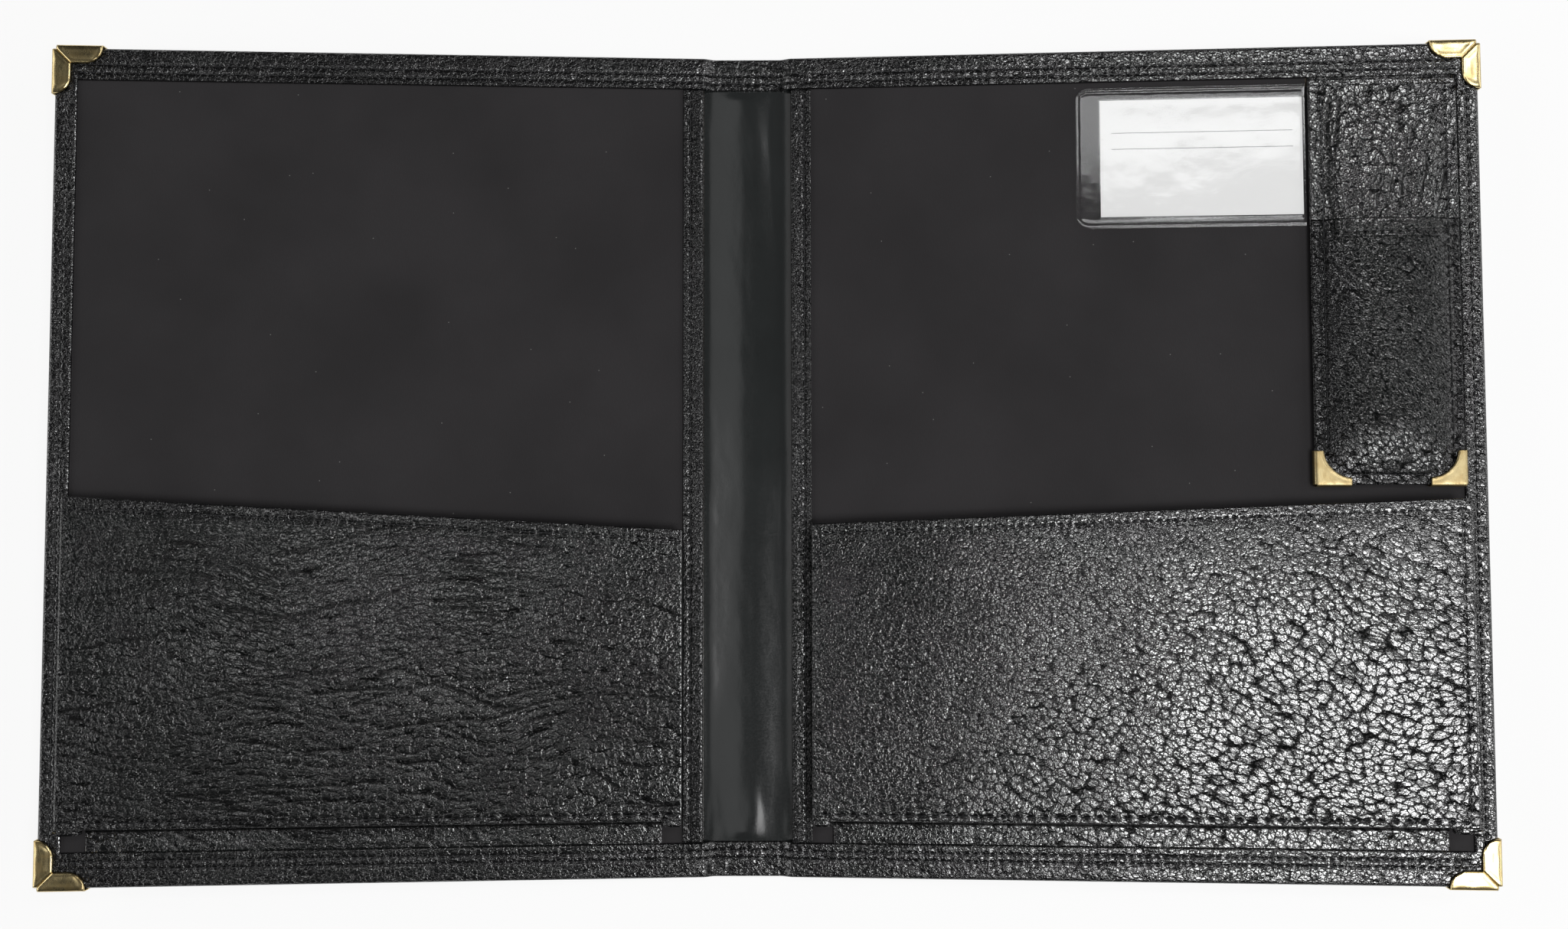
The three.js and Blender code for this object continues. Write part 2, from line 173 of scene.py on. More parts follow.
def drift(x: Array, y: Array, seed: int, octaves: int = 2) -> Array:
    """Smooth noise with features about one unit across.

    Args:
        x: first coordinate.
        y: second coordinate.
        seed: start of the noise.
        octaves: number of layers, each half as wide and as strong as the last.

    Returns:
        Values from -1 to 1.
    """
    total = np.zeros(np.broadcast(x, y).shape)
    weight, norm = 1.0, 0.0
    for octave in range(octaves):
        px, py = x * 2.0**octave + 17.3 * octave, y * 2.0**octave + 5.1 * octave
        i, j = np.floor(px), np.floor(py)
        fx, fy = ease(px - i), ease(py - j)
        s = seed + 31 * octave
        low, high = (mix(hashed(s, i, j + k), hashed(s, i + 1, j + k), fx) for k in (0, 1))
        total += weight * (2.0 * mix(low, high, fy) - 1.0)
        norm += weight
        weight *= 0.5
    return total / norm


# ---------------------------------------------------------------- places


class Side(Enum):
    """Which cover, with the sign of its x direction."""

    LEFT = -1
    RIGHT = 1


@dataclass(frozen=True)
class Cover:
    """One cover's coordinates and main sizes.

    Args:
        side: left or right.
        reach: from the fold line to the free edge.
        panel_end: outer edge of the pocket panel.
        panel_inner_top: height of the panel's top edge beside the spine strip.
        panel_outer_top: height of the panel's top edge at its outer end.
    """

    side: Side
    reach: float
    panel_end: float
    panel_inner_top: float
    panel_outer_top: float

    def named(self, what: str) -> str:
        """Name of a thing on this side."""
        return f"{self.side.name.lower()}_{what}"

    @property
    def width(self) -> float:
        """Distance from the middle of the spine to the free edge, laid flat."""
        return SPINE_HALF + self.reach

    @property
    def window(self) -> float:
        """Inner line of the outer hem, measured from the middle of the spine."""
        return self.width - OUTER_HEM

    @property
    def fold(self) -> tuple[str, str, Point, Point]:
        """The two bodies joined by the fold, and where a skin leaves the first and joins the second."""
        near, far = ((self.side.value * x, 0.0, FOLD_HEIGHT * MM) for x in (0.013, 0.020))
        return "spine", self.named("cover"), near, far

    def turned(self, u: Number, v: Number, n: Number, cos: Number, sin: Number) -> Array:
        """Points turned up about the fold line.

        Args:
            u: distance from the fold line.
            v: distance from the bottom edge.
            n: height over the outer face.
            cos: cosine of the turn.
            sin: sine of the turn.

        Returns:
            The points in the CAD frame, in millimetres.
        """
        h = np.asarray(n) - FOLD_HEIGHT
        x = self.side.value * (SPINE_HALF + u * cos - h * sin)
        z = FOLD_HEIGHT + u * sin + h * cos
        return np.stack(np.broadcast_arrays(x, v - HEIGHT / 2.0, z), axis=-1)

    def place(self, u: Number, v: Number, n: Number) -> Array:
        """Points of the rigid cover."""
        return self.turned(u, v, n, math.cos(TILT), math.sin(TILT))

    def unrolled(self, a: Number, v: Number, n: Number) -> Array:
        """Points of a skin that runs from the middle of the spine over the fold."""
        turn = TILT * ease((a - 13.0) / 7.0)
        return self.turned(a - SPINE_HALF, v, n, np.cos(turn), np.sin(turn))

    def out(self, u: Number) -> Array:
        """The x of a place u on the cover, laid flat."""
        return self.side.value * (SPINE_HALF + u)

    def panel_top(self, u: Number) -> Array:
        """Height of the pocket panel's sloping top edge."""
        share = (np.asarray(u) - STRIP_END) / (self.panel_end - STRIP_END)
        return mix(self.panel_inner_top, self.panel_outer_top, share)


LEFT = Cover(Side.LEFT, 279.9, 268.9, 149.0, 163.6)
RIGHT = Cover(Side.RIGHT, 295.8, 284.8, 151.4, 161.5)


# ---------------------------------------------------------------- meshes


class Shell:
    """Collects the patches of one piece, welds them and makes the object."""

    def __init__(self, side: Side) -> None:
        """Start an empty shell; the left side mirrors x, so its faces are turned."""
        self.mirrored = side is Side.LEFT
        self.stored: list[tuple[Array, Array, Array]] = []
        self.quads: list[Array] = []
        self.outlines: list[list[int]] = []
        self.count = 0

    def _store(self, points: Array, crease: Number, broad: Number = 0.35) -> int:
        """Keep points with their crease and pebble values, and say where they start."""
        base, flat = self.count, points.reshape(-1, 3)
        values = (np.broadcast_to(value, points.shape[:-1]).reshape(-1) for value in (crease, broad))
        self.stored.append((flat, *values))
        self.count += len(flat)
        return base

    def patch(
        self,
        points: Array,
        crease: Number = 0.0,
        keep: Array | None = None,
        under: bool = False,
        broad: Number = 0.35,
    ) -> None:
        """Add a grid of quads.

        Args:
            points: grid of shape (rows, columns, 3), rows along u and columns along v.
            crease: how deep in a crease each point lies, from 0 to 1; the leather paints it as shade.
            keep: which cells are wanted, all of them if None.
            under: True where the faces look away from the inner face.
            broad: share of the leather's broad pebbles, from 0 to 1.
        """
        rows, cols = points.shape[:2]
        index = self._store(points, crease, broad) + np.arange(rows * cols).reshape(rows, cols)
        quads = np.stack([index[:-1, :-1], index[1:, :-1], index[1:, 1:], index[:-1, 1:]], -1)
        quads = quads.reshape(-1, 4) if keep is None else quads[keep]
        self.quads.append(quads[:, ::-1] if under != self.mirrored else quads)

    def outline(self, points: Array, under: bool = False) -> None:
        """Add one flat polygon from its points in order."""
        base = self._store(points, 0.0)
        ring = list(range(base, base + len(points)))
        self.outlines.append(ring[::-1] if under != self.mirrored else ring)

    def border(self, ring: Array, rows: Sequence[Array], crease: Array) -> None:
        """Add the wall that hangs from a closed ring down through further rings."""
        stack = np.stack([np.concatenate([r, r[:1]]) for r in (ring, *rows)], axis=1)
        self.patch(stack[:, ::-1], np.concatenate([crease, crease[:1]])[:, None])

    def faces(self, back: Array) -> list[list[int]]:
        """Every face over the welded points.

        Args:
            back: the welded point of each stored one.

        Returns:
            The faces, without those that welding closed.
        """
        quads = back[np.concatenate(self.quads)]
        same = quads == np.roll(quads, -1, axis=1)
        lost = same.sum(axis=1)
        faces = quads[lost == 0].tolist() + quads[lost == 1][~same[lost == 1]].reshape(-1, 3).tolist()
        for ring in self.outlines:
            welded = [int(back[i]) for i in ring]
            turn = [p for p, q in zip(welded, welded[1:] + welded[:1]) if p != q]
            if len(set(turn)) > 2:
                faces.append(turn)
        return faces

    def make(self, name: str, material: Material, sharp: float = 50.0, grain: Grain | None = None) -> Piece:
        """Weld everything and make the object.

        Args:
            name: name of the piece.
            material: its finish.
            sharp: edges that bend by more than this many degrees stay sharp.
            grain: the leather's grain, whose flow the finish follows.

        Returns:
            The new object, at the origin, in metres.
        """
        points, creases, broads = (np.concatenate(values) for values in zip(*self.stored))
        whole = np.round(points * 1000.0).astype(np.int64)
        _, first, back = np.unique(whole, axis=0, return_index=True, return_inverse=True)
        back = back.reshape(-1)
        listed = [np.concatenate(self.quads).reshape(-1), *(np.array(r) for r in self.outlines)]
        used, spot = np.unique(back[np.concatenate(listed)]), np.zeros(len(first), dtype=np.int64)
        spot[used] = np.arange(len(used))
        first = first[used]
        place = points[first]
        mesh = bpy.data.meshes.new(name)
        mesh.from_pydata((place * MM).tolist(), [], self.faces(spot[back]))
        mesh.validate()
        mesh.shade_smooth()
        mesh.set_sharp_from_angle(angle=math.radians(sharp))
        along, across = (grain or Grain()).flow(place[:, 0], place[:, 1] + HEIGHT / 2.0)
        flow = np.stack([along, across, 0.6 * place[:, 2]], axis=1).astype(np.float32)
        mesh.attributes.new("flow", "FLOAT_VECTOR", "POINT").data.foreach_set("vector", flow.ravel())
        # The fold attribute carries the crease share, which the leather finish paints as shade.
        for key, values in (("fold", creases), ("broad", broads)):
            data = mesh.attributes.new(key, "FLOAT", "POINT").data
            data.foreach_set("value", values[first].astype(np.float32))
        mesh.materials.append(material)
        piece = bpy.data.objects.new(name, mesh)
        bpy.context.scene.collection.objects.link(piece)
        LOG.info("%s: %d points, %d faces", name, len(mesh.vertices), len(mesh.polygons))
        return piece


def ring_of(values: Array) -> Array:
    """The border of a grid, once round, counterclockwise seen from above."""
    return np.concatenate([values[:-1, 0], values[-1, :-1], values[:0:-1, -1], values[0, :0:-1]])


def slab(shell: Shell, cover: Cover, at: Relief, face: Relief, low: float, broad: Number = 0.35) -> None:
    """Add a closed slab with a relief face, a wall and a flat back.

    Args:
        shell: what collects the patches.
        cover: the cover whose coordinates are used.
        at: u and v of the face's grid.
        face: height and crease share on the grid.
        low: height of the back.
        broad: share of the broad pebbles on the face.
    """
    (u, v), (n, crease) = at, face
    shell.patch(cover.place(u, v, n), crease, broad=broad)
    ru, rv, rn = (ring_of(values) for values in (u, v, n))
    off_u, off_v = (r - (r.min() + r.max()) / 2.0 for r in (ru, rv))
    inwards = np.sign(off_u) * (np.abs(off_u) > 1.0)
    rows = [
        cover.place(ru - inset * inwards, rv - inset * np.sign(off_v), height)
        for inset, height in ((0.0, np.minimum((rn + low) / 2.0, rn)), (0.0, low + 0.2), (0.18, low))
    ]
    shell.border(cover.place(ru, rv, rn), rows, ring_of(crease))
    shell.outline(rows[-1], under=True)


def thicken(piece: Piece, thickness: float, offset: float = -1.0, rim: bool = True) -> None:
    """Give a sheet its thickness in millimetres."""
    thick = piece.modifiers.new("thickness", "SOLIDIFY")
    thick.thickness, thick.offset, thick.use_rim = thickness * MM, offset, rim


def settle(
    piece: Piece,
    body: str | tuple[str, str, Point, Point],
    nodes: Sequence[str] = (),
    rests_on: Sequence[str] = (),
) -> Piece:
    """Attach a piece to the body it moves with, and hide the CAD nodes that it stands for.

    Args:
        piece: the finished piece.
        body: the body it rides on, or two bodies with two points; a piece given two bodies is only fixed in the CAD
            frame.
        nodes: the CAD nodes that it replaces.
        rests_on: not used.

    Returns:
        The same piece.
    """
    if isinstance(body, str):
        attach(piece, body)
    else:
        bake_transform(piece)
    if nodes:
        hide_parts(*nodes)
    return piece


def dress(node: str, material: Material) -> None:
    """Give a CAD node that stays in sight its finish."""
    for entry in bpy.data.objects[node].material_slots:
        entry.material = material
    LOG.info("%s: dressed with %s", node, material.name)


# ---------------------------------------------------------------- leather relief


@dataclass(frozen=True)
class Grain:
    """Relief of milled leather: low pebbles and long flowing folds.

    Args:
        angle: direction of the pebbles and folds in degrees.
        depth: height of the soft unevenness.
        fold: depth of the long folds.
        fold_size: distance between the long folds.
        seed: start of the noise.
    """

    angle: float = 0.0
    depth: float = 0.05
    fold: float = 0.22
    fold_size: float = 6.5
    seed: int = 1

    def flow(self, x: Array, y: Array) -> Relief:
        """Wandering coordinates along and across the grain, in millimetres."""
        wx, wy = (
            p + 9.0 * drift(x / 62.0, y / 62.0, self.seed + k) + 1.3 * drift(x / 12.0, y / 12.0, self.seed + k + 2)
            for p, k in ((x, 1), (y, 2))
        )
        turn = math.radians(self.angle)
        return wx * math.cos(turn) + wy * math.sin(turn), -wx * math.sin(turn) + wy * math.cos(turn)

    def to_line(self, along: Array, across: Array, lean: float, seed: int) -> Array:
        """Distance in millimetres to the nearest long fold of one family.

        Args:
            along: coordinate along the grain.
            across: coordinate across the grain.
            lean: slope of the family against the grain.
            seed: start of the noise.

        Returns:
            Distance to the line where a stretched noise is zero.
        """
        step = 0.5

        def rise(a: Array, b: Array) -> Array:
            """The stretched noise."""
            return drift(a / (6.5 * self.fold_size), b / self.fold_size, seed, 1)

        a, b = along + lean * across, across - lean * along
        level = rise(a, b)
        down, up = np.abs(rise(a + step, b) - level), np.abs(rise(a, b + step) - level)
        turned = 4.0 * np.clip(2.2 * down / (up + 1e-6) - 0.35, 0.0, 1.0)
        return step * np.abs(level) / (np.hypot(down, up) + 0.012) + turned

    def relief(self, x: Array, y: Array, strength: Number = 1.0) -> Relief:
        """Relief at points of the hide.

        Args:
            x: first coordinate on the hide.
            y: second coordinate on the hide.
            strength: local strength of the relief.

        Returns:
            Height above the plain face, and how deep in a fold each point lies.
        """
        along, across = self.flow(x, y)
        fold = np.zeros(np.shape(x))
        for lean, seed in ((0.16, self.seed + 11), (-0.20, self.seed + 12), (0.0, self.seed + 13)):
            patchy = ease(0.5 + 1.4 * drift(x / 40.0, y / 40.0, seed + 20))
            fold = np.maximum(fold, bell(self.to_line(along, across, lean, seed), 0.62) * patchy)
        swell = self.depth * drift(along / 4.6, across / 3.0, self.seed + 6, 2)
        height = strength * (swell - self.fold * fold)
        return height, np.clip(strength * fold * min(1.0, self.fold / 0.24), 0.0, 1.0)


@dataclass(frozen=True)
class Stitching:
    """A sewn row: a pulled-in groove with a hole at each stitch.

    Args:
        pitch: length of a stitch.
        groove: depth of the groove.
        hole: depth of the holes.
        size: half width of the holes.
    """

    pitch: float = 3.6
    groove: float = 0.24
    hole: float = 0.45
    size: float = 0.52

    def relief(self, along: Array, across: Array, inside: Number = 1.0) -> Relief:
        """Relief beside a sewn row.

        Args:
            along: distance along the row.
            across: distance from the row.
            inside: 1 where the row runs and 0 past its ends.

        Returns:
            Height below the face, and the shade painted into the groove and the holes.
        """
        to_hole = (along + self.pitch / 2.0) % self.pitch - self.pitch / 2.0
        groove = bell(across, 0.62) * inside
        hole = bell(np.hypot(to_hole, across), self.size) * inside
        puff = bell(np.abs(across) - 1.5, 0.9) * np.cos(2.0 * math.pi * along / self.pitch)
        height = -self.groove * groove - self.hole * hole - 0.045 * puff * inside
        # Painted shade: the groove and the holes are made dark through the crease share.
        return height, np.clip(0.55 * groove + hole, 0.0, 1.0)


# ---------------------------------------------------------------- finishes


class Nodes:
    """Builds one material's node tree."""

    def __init__(self, name: str) -> None:
        """Make a material with an empty tree and object coordinates in millimetres."""
        self.material = bpy.data.materials.new(name)
        self.material.use_nodes = True
        self.tree = self.material.node_tree
        self.tree.nodes.clear()
        self.out, self.shader = self.add("OutputMaterial"), self.add("BsdfPrincipled")
        self.tree.links.new(self.shader.outputs[0], self.out.inputs[0])
        self.place = self.scaled(self.add("TexCoord").outputs["Object"], (1000.0, 1000.0, 1000.0))

    def feed(self, node: bpy.types.Node, key: str | int, value: object) -> None:
        """Set a socket.

        Args:
            node: the node that has the socket.
            key: name or place of the socket.
            value: a number, a colour or another socket.
        """
        socket = node.inputs[key]
        if isinstance(value, Socket):
            self.tree.links.new(value, socket)
        elif isinstance(value, tuple) and len(value) == 3 and socket.type == "RGBA":
            socket.default_value = (*value, 1.0)
        else:
            socket.default_value = value

    def add(self, kind: str, inputs: dict[str | int, object] | None = None, **settings: object) -> bpy.types.Node:
        """Add a node.

        Args:
            kind: its type, without the usual first words.
            inputs: values or sockets for its inputs.
            **settings: its own settings.

        Returns:
            The new node.
        """
        node = self.tree.nodes.new(f"ShaderNode{kind}")
        for key, value in settings.items():
            setattr(node, key, value)
        for key, value in (inputs or {}).items():
            self.feed(node, key, value)
        return node

    def scaled(self, source: Socket, scale: Point, turn: float = 0.0) -> Socket:
        """Coordinates turned about z by some degrees and scaled."""
        turned = (0.0, 0.0, math.radians(turn))
        return self.add("Mapping", {"Vector": source, "Scale": scale, "Rotation": turned}).outputs[0]

    def noise(self, size: float, detail: float = 2.0, place: Socket | None = None) -> Socket:
        """Noise with features of a size in millimetres, from 0 to 1."""
        inputs = {"Vector": place or self.place, "Scale": 1.0 / size, "Detail": detail}
        return self.add("TexNoise", inputs).outputs[0]

    def streaks(self, size: float, detail: float, squeeze: float, turn: float) -> Socket:
        """Noise drawn out in one direction, turned by some degrees."""
        return self.noise(size, detail, self.scaled(self.place, (1.0, squeeze, 1.0), turn))

    def cells(self, size: float, feature: str = "F1", place: Socket | None = None) -> bpy.types.NodeOutputs:
        """Outputs of flat Voronoi cells of a size in millimetres."""
        inputs = {"Vector": place or self.place, "Scale": 1.0 / size}
        return self.add("TexVoronoi", inputs, feature=feature, voronoi_dimensions="2D").outputs

    def stored(self, name: str, output: str = "Fac") -> Socket:
        """A value that the mesh stores at its points."""
        return self.add("Attribute", attribute_name=name).outputs[output]

    def vector(self, kind: str, first: object, second: object) -> Socket:
        """One vector arithmetic node; a dot product gives a number."""
        inputs = {0: first, 3 if kind == "SCALE" else 1: second}
        return self.add("VectorMath", inputs, operation=kind).outputs["Value" if kind == "DOT_PRODUCT" else "Vector"]

    def math(self, kind: str, first: object, second: object = 0.0, third: object = 0.0) -> Socket:
        """One arithmetic node."""
        return self.add("Math", {0: first, 1: second, 2: third}, operation=kind).outputs[0]

    def plus(self, first: object, second: object) -> Socket:
        """The sum of two values."""
        return self.math("ADD", first, second)

    def times(self, first: object, second: object) -> Socket:
        """The product of two values."""
        return self.math("MULTIPLY", first, second)

    def rest(self, value: object) -> Socket:
        """What is missing to 1."""
        return self.math("SUBTRACT", 1.0, value)

    def most(self, first: object, second: object) -> Socket:
        """The greater of two values."""
        return self.math("MAXIMUM", first, second)

    def span(self, value: Socket, low: float, high: float, to: Pair = (0.0, 1.0)) -> Socket:
        """Map low..high to another range, clipped."""
        keys = ("Value", "From Min", "From Max", "To Min", "To Max")
        return self.add("MapRange", dict(zip(keys, (value, low, high, *to)))).outputs[0]

    def blend(self, share: object, first: object, second: object) -> Socket:
        """Mix two colours."""
        return self.add("Mix", {"Factor": share, 6: first, 7: second}, data_type="RGBA").outputs[2]

    def bump(self, height: Socket) -> None:
        """Give the shader a relief whose height is in millimetres."""
        node = self.add("Bump", {"Strength": 1.0, "Distance": MM, "Height": height})
        self.feed(self.shader, "Normal", node.outputs[0])

    def over(self, share: object, first: Socket, second: Socket) -> None:
        """Send a mix of two shaders to the output."""
        mixer = self.add("MixShader", {0: share, 1: first, 2: second})
        self.tree.links.new(mixer.outputs[0], self.out.inputs[0])

    def set(self, **values: object) -> None:
        """Set sockets of the shader by name, with _ for a space."""
        for key, value in values.items():
            self.feed(self.shader, key.replace("_", " "), value)


@dataclass(frozen=True)
class Finish:
    """A material's name and base colour; each kind of finish fills in its nodes."""

    name: str
    tint: Point

    def shade(self, factor: float) -> Point:
        """The base colour, darker or paler."""
        return tuple(factor * c for c in self.tint)

    def fill(self, n: Nodes) -> None:
        """Add the nodes of this kind."""
        raise NotImplementedError

    def material(self) -> Material:
        """Make the material."""
        n = Nodes(self.name)
        self.fill(n)
        return n.material


@dataclass(frozen=True)
class LeatherFinish(Finish):
    """Black milled leather, semi-gloss: shiny pebbles, with shade painted into the creases between them.

    Args:
        name: name of the material.
        tint: base colour on the pebbles.
        gloss: roughness on the pebbles.
        pebble: width of the broad pebbles in millimetres.
        small: width of the small pebbles in millimetres.
        shine: specular level on the pebbles.
        wrinkle: height of the finest wrinkles in millimetres.
    """

    name: str = "black_leather_milled"
    tint: Point = (0.0056, 0.0056, 0.0059)
    gloss: float = 0.095
    pebble: float = 3.0
    small: float = 1.5
    shine: float = 1.0
    wrinkle: float = 0.018

    def pebbles(self, n: Nodes, place: Socket, size: float, drop: float) -> tuple[Socket, Socket]:
        """Cells of one size.

        Args:
            n: the material's nodes.
            place: coordinates along and across the grain.
            size: width of a cell in millimetres.
            drop: how far a dome falls one cell away from its middle, in millimetres.

        Returns:
            Distance to the nearest crease in cells, and the height of the domes.
        """
        edge, cell = (n.cells(size, feature, place) for feature in ("DISTANCE_TO_EDGE", "F1"))
        offset = n.vector("SUBTRACT", place, cell["Position"])
        way = n.vector("SUBTRACT", cell["Color"], (0.5, 0.5, 0.5))
        lean = n.times(n.vector("DOT_PRODUCT", offset, way), 0.06)
        return edge["Distance"], n.plus(n.times(n.math("POWER", cell["Distance"], 5.0), -drop), lean)

    def fill(self, n: Nodes) -> None:
        """Add two sizes of pebbles, shade painted into their creases and the folds, and the gloss."""
        flow = n.scaled(n.stored("flow", "Vector"), (0.76, 1.0, 1.0))
        jitter = n.add("TexNoise", {"Vector": flow, "Scale": 0.85}).outputs["Color"]
        moved = n.vector("SCALE", n.vector("SUBTRACT", jitter, (0.5, 0.5, 0.5)), 2.1)
        place = n.vector("ADD", flow, moved)
        wide_edge, wide_dome = self.pebbles(n, place, self.pebble, 1.3)
        tight_edge, tight_dome = self.pebbles(n, place, self.small, 0.5)
        broad = n.stored("broad")
        narrow = n.math("MULTIPLY_ADD", broad, -0.75, 1.0)
        wide_top, tight_top = n.span(wide_edge, 0.0, 0.10), n.span(tight_edge, 0.0, 0.15)
        wide = n.times(n.math("MULTIPLY_ADD", wide_top, 0.11, wide_dome), broad)
        tight = n.times(n.math("MULTIPLY_ADD", tight_top, 0.07, tight_dome), narrow)
        n.bump(n.math("MULTIPLY_ADD", n.noise(0.9, 3.0, flow), self.wrinkle, n.plus(wide, tight)))
        # Painted shade: a slow noise makes the shade painted into the broad creases stronger or weaker from place to
        # place.
        uneven_shade = n.span(n.noise(4.5, 1.0), 0.36, 0.6, (0.5, 1.0))
        # Painted shade in the creases between the broad pebbles and between the small pebbles.
        wide_crease_shade = n.times(n.rest(wide_top), n.times(broad, uneven_shade))
        tight_crease_shade = n.times(n.rest(tight_top), n.times(narrow, 0.8))
        # Painted shade: the crease share below gathers the pebbles' creases and the stored folds and stitch marks; it
        # darkens the base colour and also makes the face rougher and less shiny.
        deep = n.most(n.most(wide_crease_shade, tight_crease_shade), n.span(n.stored("fold"), 0.3, 0.95))
        patches = n.noise(24.0, 2.0)
        base = n.blend(n.span(patches, 0.35, 0.7), self.tint, self.shade(1.4))
        # Painted shade: the base colour falls to 0.4 of the tint where the crease share is high.
        n.set(Base_Color=n.blend(deep, base, self.shade(0.4)))
        rough = n.span(patches, 0.3, 0.7, (self.gloss + 0.012, self.gloss - 0.012))
        n.set(Roughness=n.plus(rough, n.times(deep, 0.22)))
        pores = n.span(n.noise(0.55, 2.0), 0.38, 0.6, (0.35 * self.shine, 1.2 * self.shine))
        n.set(Specular_IOR_Level=n.times(n.math("MULTIPLY_ADD", deep, -0.95, 1.0), pores), IOR=1.65)


@dataclass(frozen=True)
class LiningFinish(Finish):
    """Matt dark lining with short fibres and a few pale lint specks."""

    name: str = "dark_lining_paper"
    tint: Point = (0.0275, 0.0257, 0.0272)

    def fill(self, n: Nodes) -> None:
        """Add the clouds, the fibres and the lint."""
        fibre = n.streaks(0.5, 3.0, 0.35, 20.0)
        lint = n.rest(n.span(n.cells(38.0)["Distance"], 0.0035, 0.0075))
        base = n.blend(n.span(n.noise(60.0, 3.0), 0.35, 0.65), self.shade(0.86), self.shade(1.14))
        base = n.blend(n.span(fibre, 0.45, 0.8, (0.0, 0.35)), base, (0.034, 0.033, 0.034))
        n.set(Base_Color=n.blend(n.times(lint, 0.55), base, (0.30, 0.30, 0.29)))
        n.set(Roughness=n.span(fibre, 0.3, 0.7, (0.82, 0.95)), Specular_IOR_Level=0.25)
        n.bump(n.times(fibre, 0.05))


@dataclass(frozen=True)
class VinylFinish(Finish):
    """Smooth grey vinyl on the spine, glossy over a slightly uneven face."""

    name: str = "grey_spine_vinyl"
    tint: Point = (0.0180, 0.0200, 0.0200)

    def fill(self, n: Nodes) -> None:
        """Add the waves and the gloss."""
        wave, fine = n.streaks(9.0, 2.0, 0.45, 12.0), n.noise(0.7, 2.0)
        n.set(Base_Color=n.blend(n.span(n.noise(22.0, 2.0), 0.3, 0.7), self.tint, self.shade(1.25)))
        n.set(Roughness=n.span(fine, 0.3, 0.7, (0.10, 0.14)), Specular_IOR_Level=1.0, IOR=1.6)
        n.bump(n.plus(n.times(wave, 0.05), n.times(fine, 0.006)))


@dataclass(frozen=True)
class BrassFinish(Finish):
    """Metal of the corners, polished or brushed."""

    name: str = "polished_brass"
    tint: Point = (0.76, 0.62, 0.33)
    gloss: float = 0.20
    brushed: float = 0.0

    def fill(self, n: Nodes) -> None:
        """Add the brushing, the scratches and the dull patches."""
        brush, dull = n.streaks(0.16, 2.0, 0.06, 40.0), n.noise(5.0, 3.0)
        scratch = n.span(n.streaks(0.10, 1.0, 0.02, -25.0), 0.62, 0.72)
        aged = (self.tint[0] * 0.80, self.tint[1] * 0.72, self.tint[2] * 0.60)
        n.set(Base_Color=n.blend(n.span(dull, 0.42, 0.75), self.tint, aged), Metallic=1.0)
        rough = n.plus(n.span(dull, 0.3, 0.75, (self.gloss, self.gloss + 0.10)), n.times(scratch, 0.10))
        n.set(Roughness=n.plus(rough, n.span(brush, 0.3, 0.7, (0.0, 0.05 + 0.12 * self.brushed))))
        n.bump(n.plus(n.times(dull, 0.02), n.times(brush, 0.002 + 0.01 * self.brushed)))


@dataclass(frozen=True)
class ThreadFinish(Finish):
    """Black waxed thread with a twist."""

    name: str = "black_thread"
    tint: Point = (0.011, 0.011, 0.012)

    def fill(self, n: Nodes) -> None:
        """Add the twist."""
        ply = n.streaks(0.14, 1.0, 0.4, 35.0)
        n.set(Base_Color=n.blend(ply, self.tint, self.shade(2.0)))
        n.set(Roughness=n.span(ply, 0.3, 0.7, (0.45, 0.65)), Specular_IOR_Level=0.4)
        n.bump(n.times(ply, 0.03))


@dataclass(frozen=True)
class BoardFinish(Finish):
    """Greyboard with pulp fibres."""

    name: str = "pulp_board"
    tint: Point = (0.19, 0.155, 0.12)

    def fill(self, n: Nodes) -> None:
        """Add the pulp."""
        pulp = n.noise(0.8, 3.0)
        n.set(Base_Color=n.blend(pulp, self.shade(0.75), self.shade(1.3)))
        n.set(Roughness=n.span(pulp, 0.3, 0.7, (0.86, 0.96)))
        n.bump(n.times(pulp, 0.08))


@dataclass(frozen=True)
class CardFinish(Finish):
    """White card with two thin ruled lines.

    Args:
        name: name of the material.
        tint: base colour of the card.
        rules: height and the two ends of each line in the CAD frame, in millimetres.
    """

    name: str = "white_card_stock"
    tint: Point = (0.88, 0.88, 0.88)
    rules: tuple[Point, ...] = ((0.0, 0.0, 1.0),)

    def fill(self, n: Nodes) -> None:
        """Add the paper and the ruled lines."""
        x, y = n.add("SeparateXYZ", {0: n.place}).outputs[:2]
        paper = n.noise(0.4, 2.0)
        base = n.blend(paper, self.tint, (0.93, 0.93, 0.92))
        for height, start, stop in self.rules:
            near = n.math("COMPARE", y, height, 0.16)
            middle = n.math("COMPARE", x, (start + stop) / 2.0, abs(stop - start) / 2.0)
            base = n.blend(n.times(n.times(near, middle), 0.75), base, (0.12, 0.12, 0.13))
        n.set(Base_Color=base, Roughness=n.span(paper, 0.3, 0.7, (0.50, 0.60)))
        n.bump(n.times(paper, 0.01))


@dataclass(frozen=True)
class FilmFinish(Finish):
    """Clear vinyl film: see-through, with a gloss that follows its waves."""

    name: str = "clear_film"
    tint: Point = (0.93, 0.94, 0.94)
    gloss: float = 0.06

    def fill(self, n: Nodes) -> None:
        """Add the gloss and make the rest clear, less so at a grazing view."""
        wave, fine = n.noise(7.0, 2.0), n.noise(0.6, 2.0)
        rough = n.span(fine, 0.35, 0.65, (self.gloss, self.gloss + 0.08))
        n.set(Base_Color=self.tint, Metallic=1.0, Roughness=rough)
        n.bump(n.plus(n.times(wave, 0.08), n.times(fine, 0.004)))
        grazing = n.math("POWER", n.add("LayerWeight").outputs["Facing"], 3.0)
        share = n.span(grazing, 0.0, 1.0, (0.035, 0.75))
        n.over(share, n.add("BsdfTransparent").outputs[0], n.shader.outputs[0])


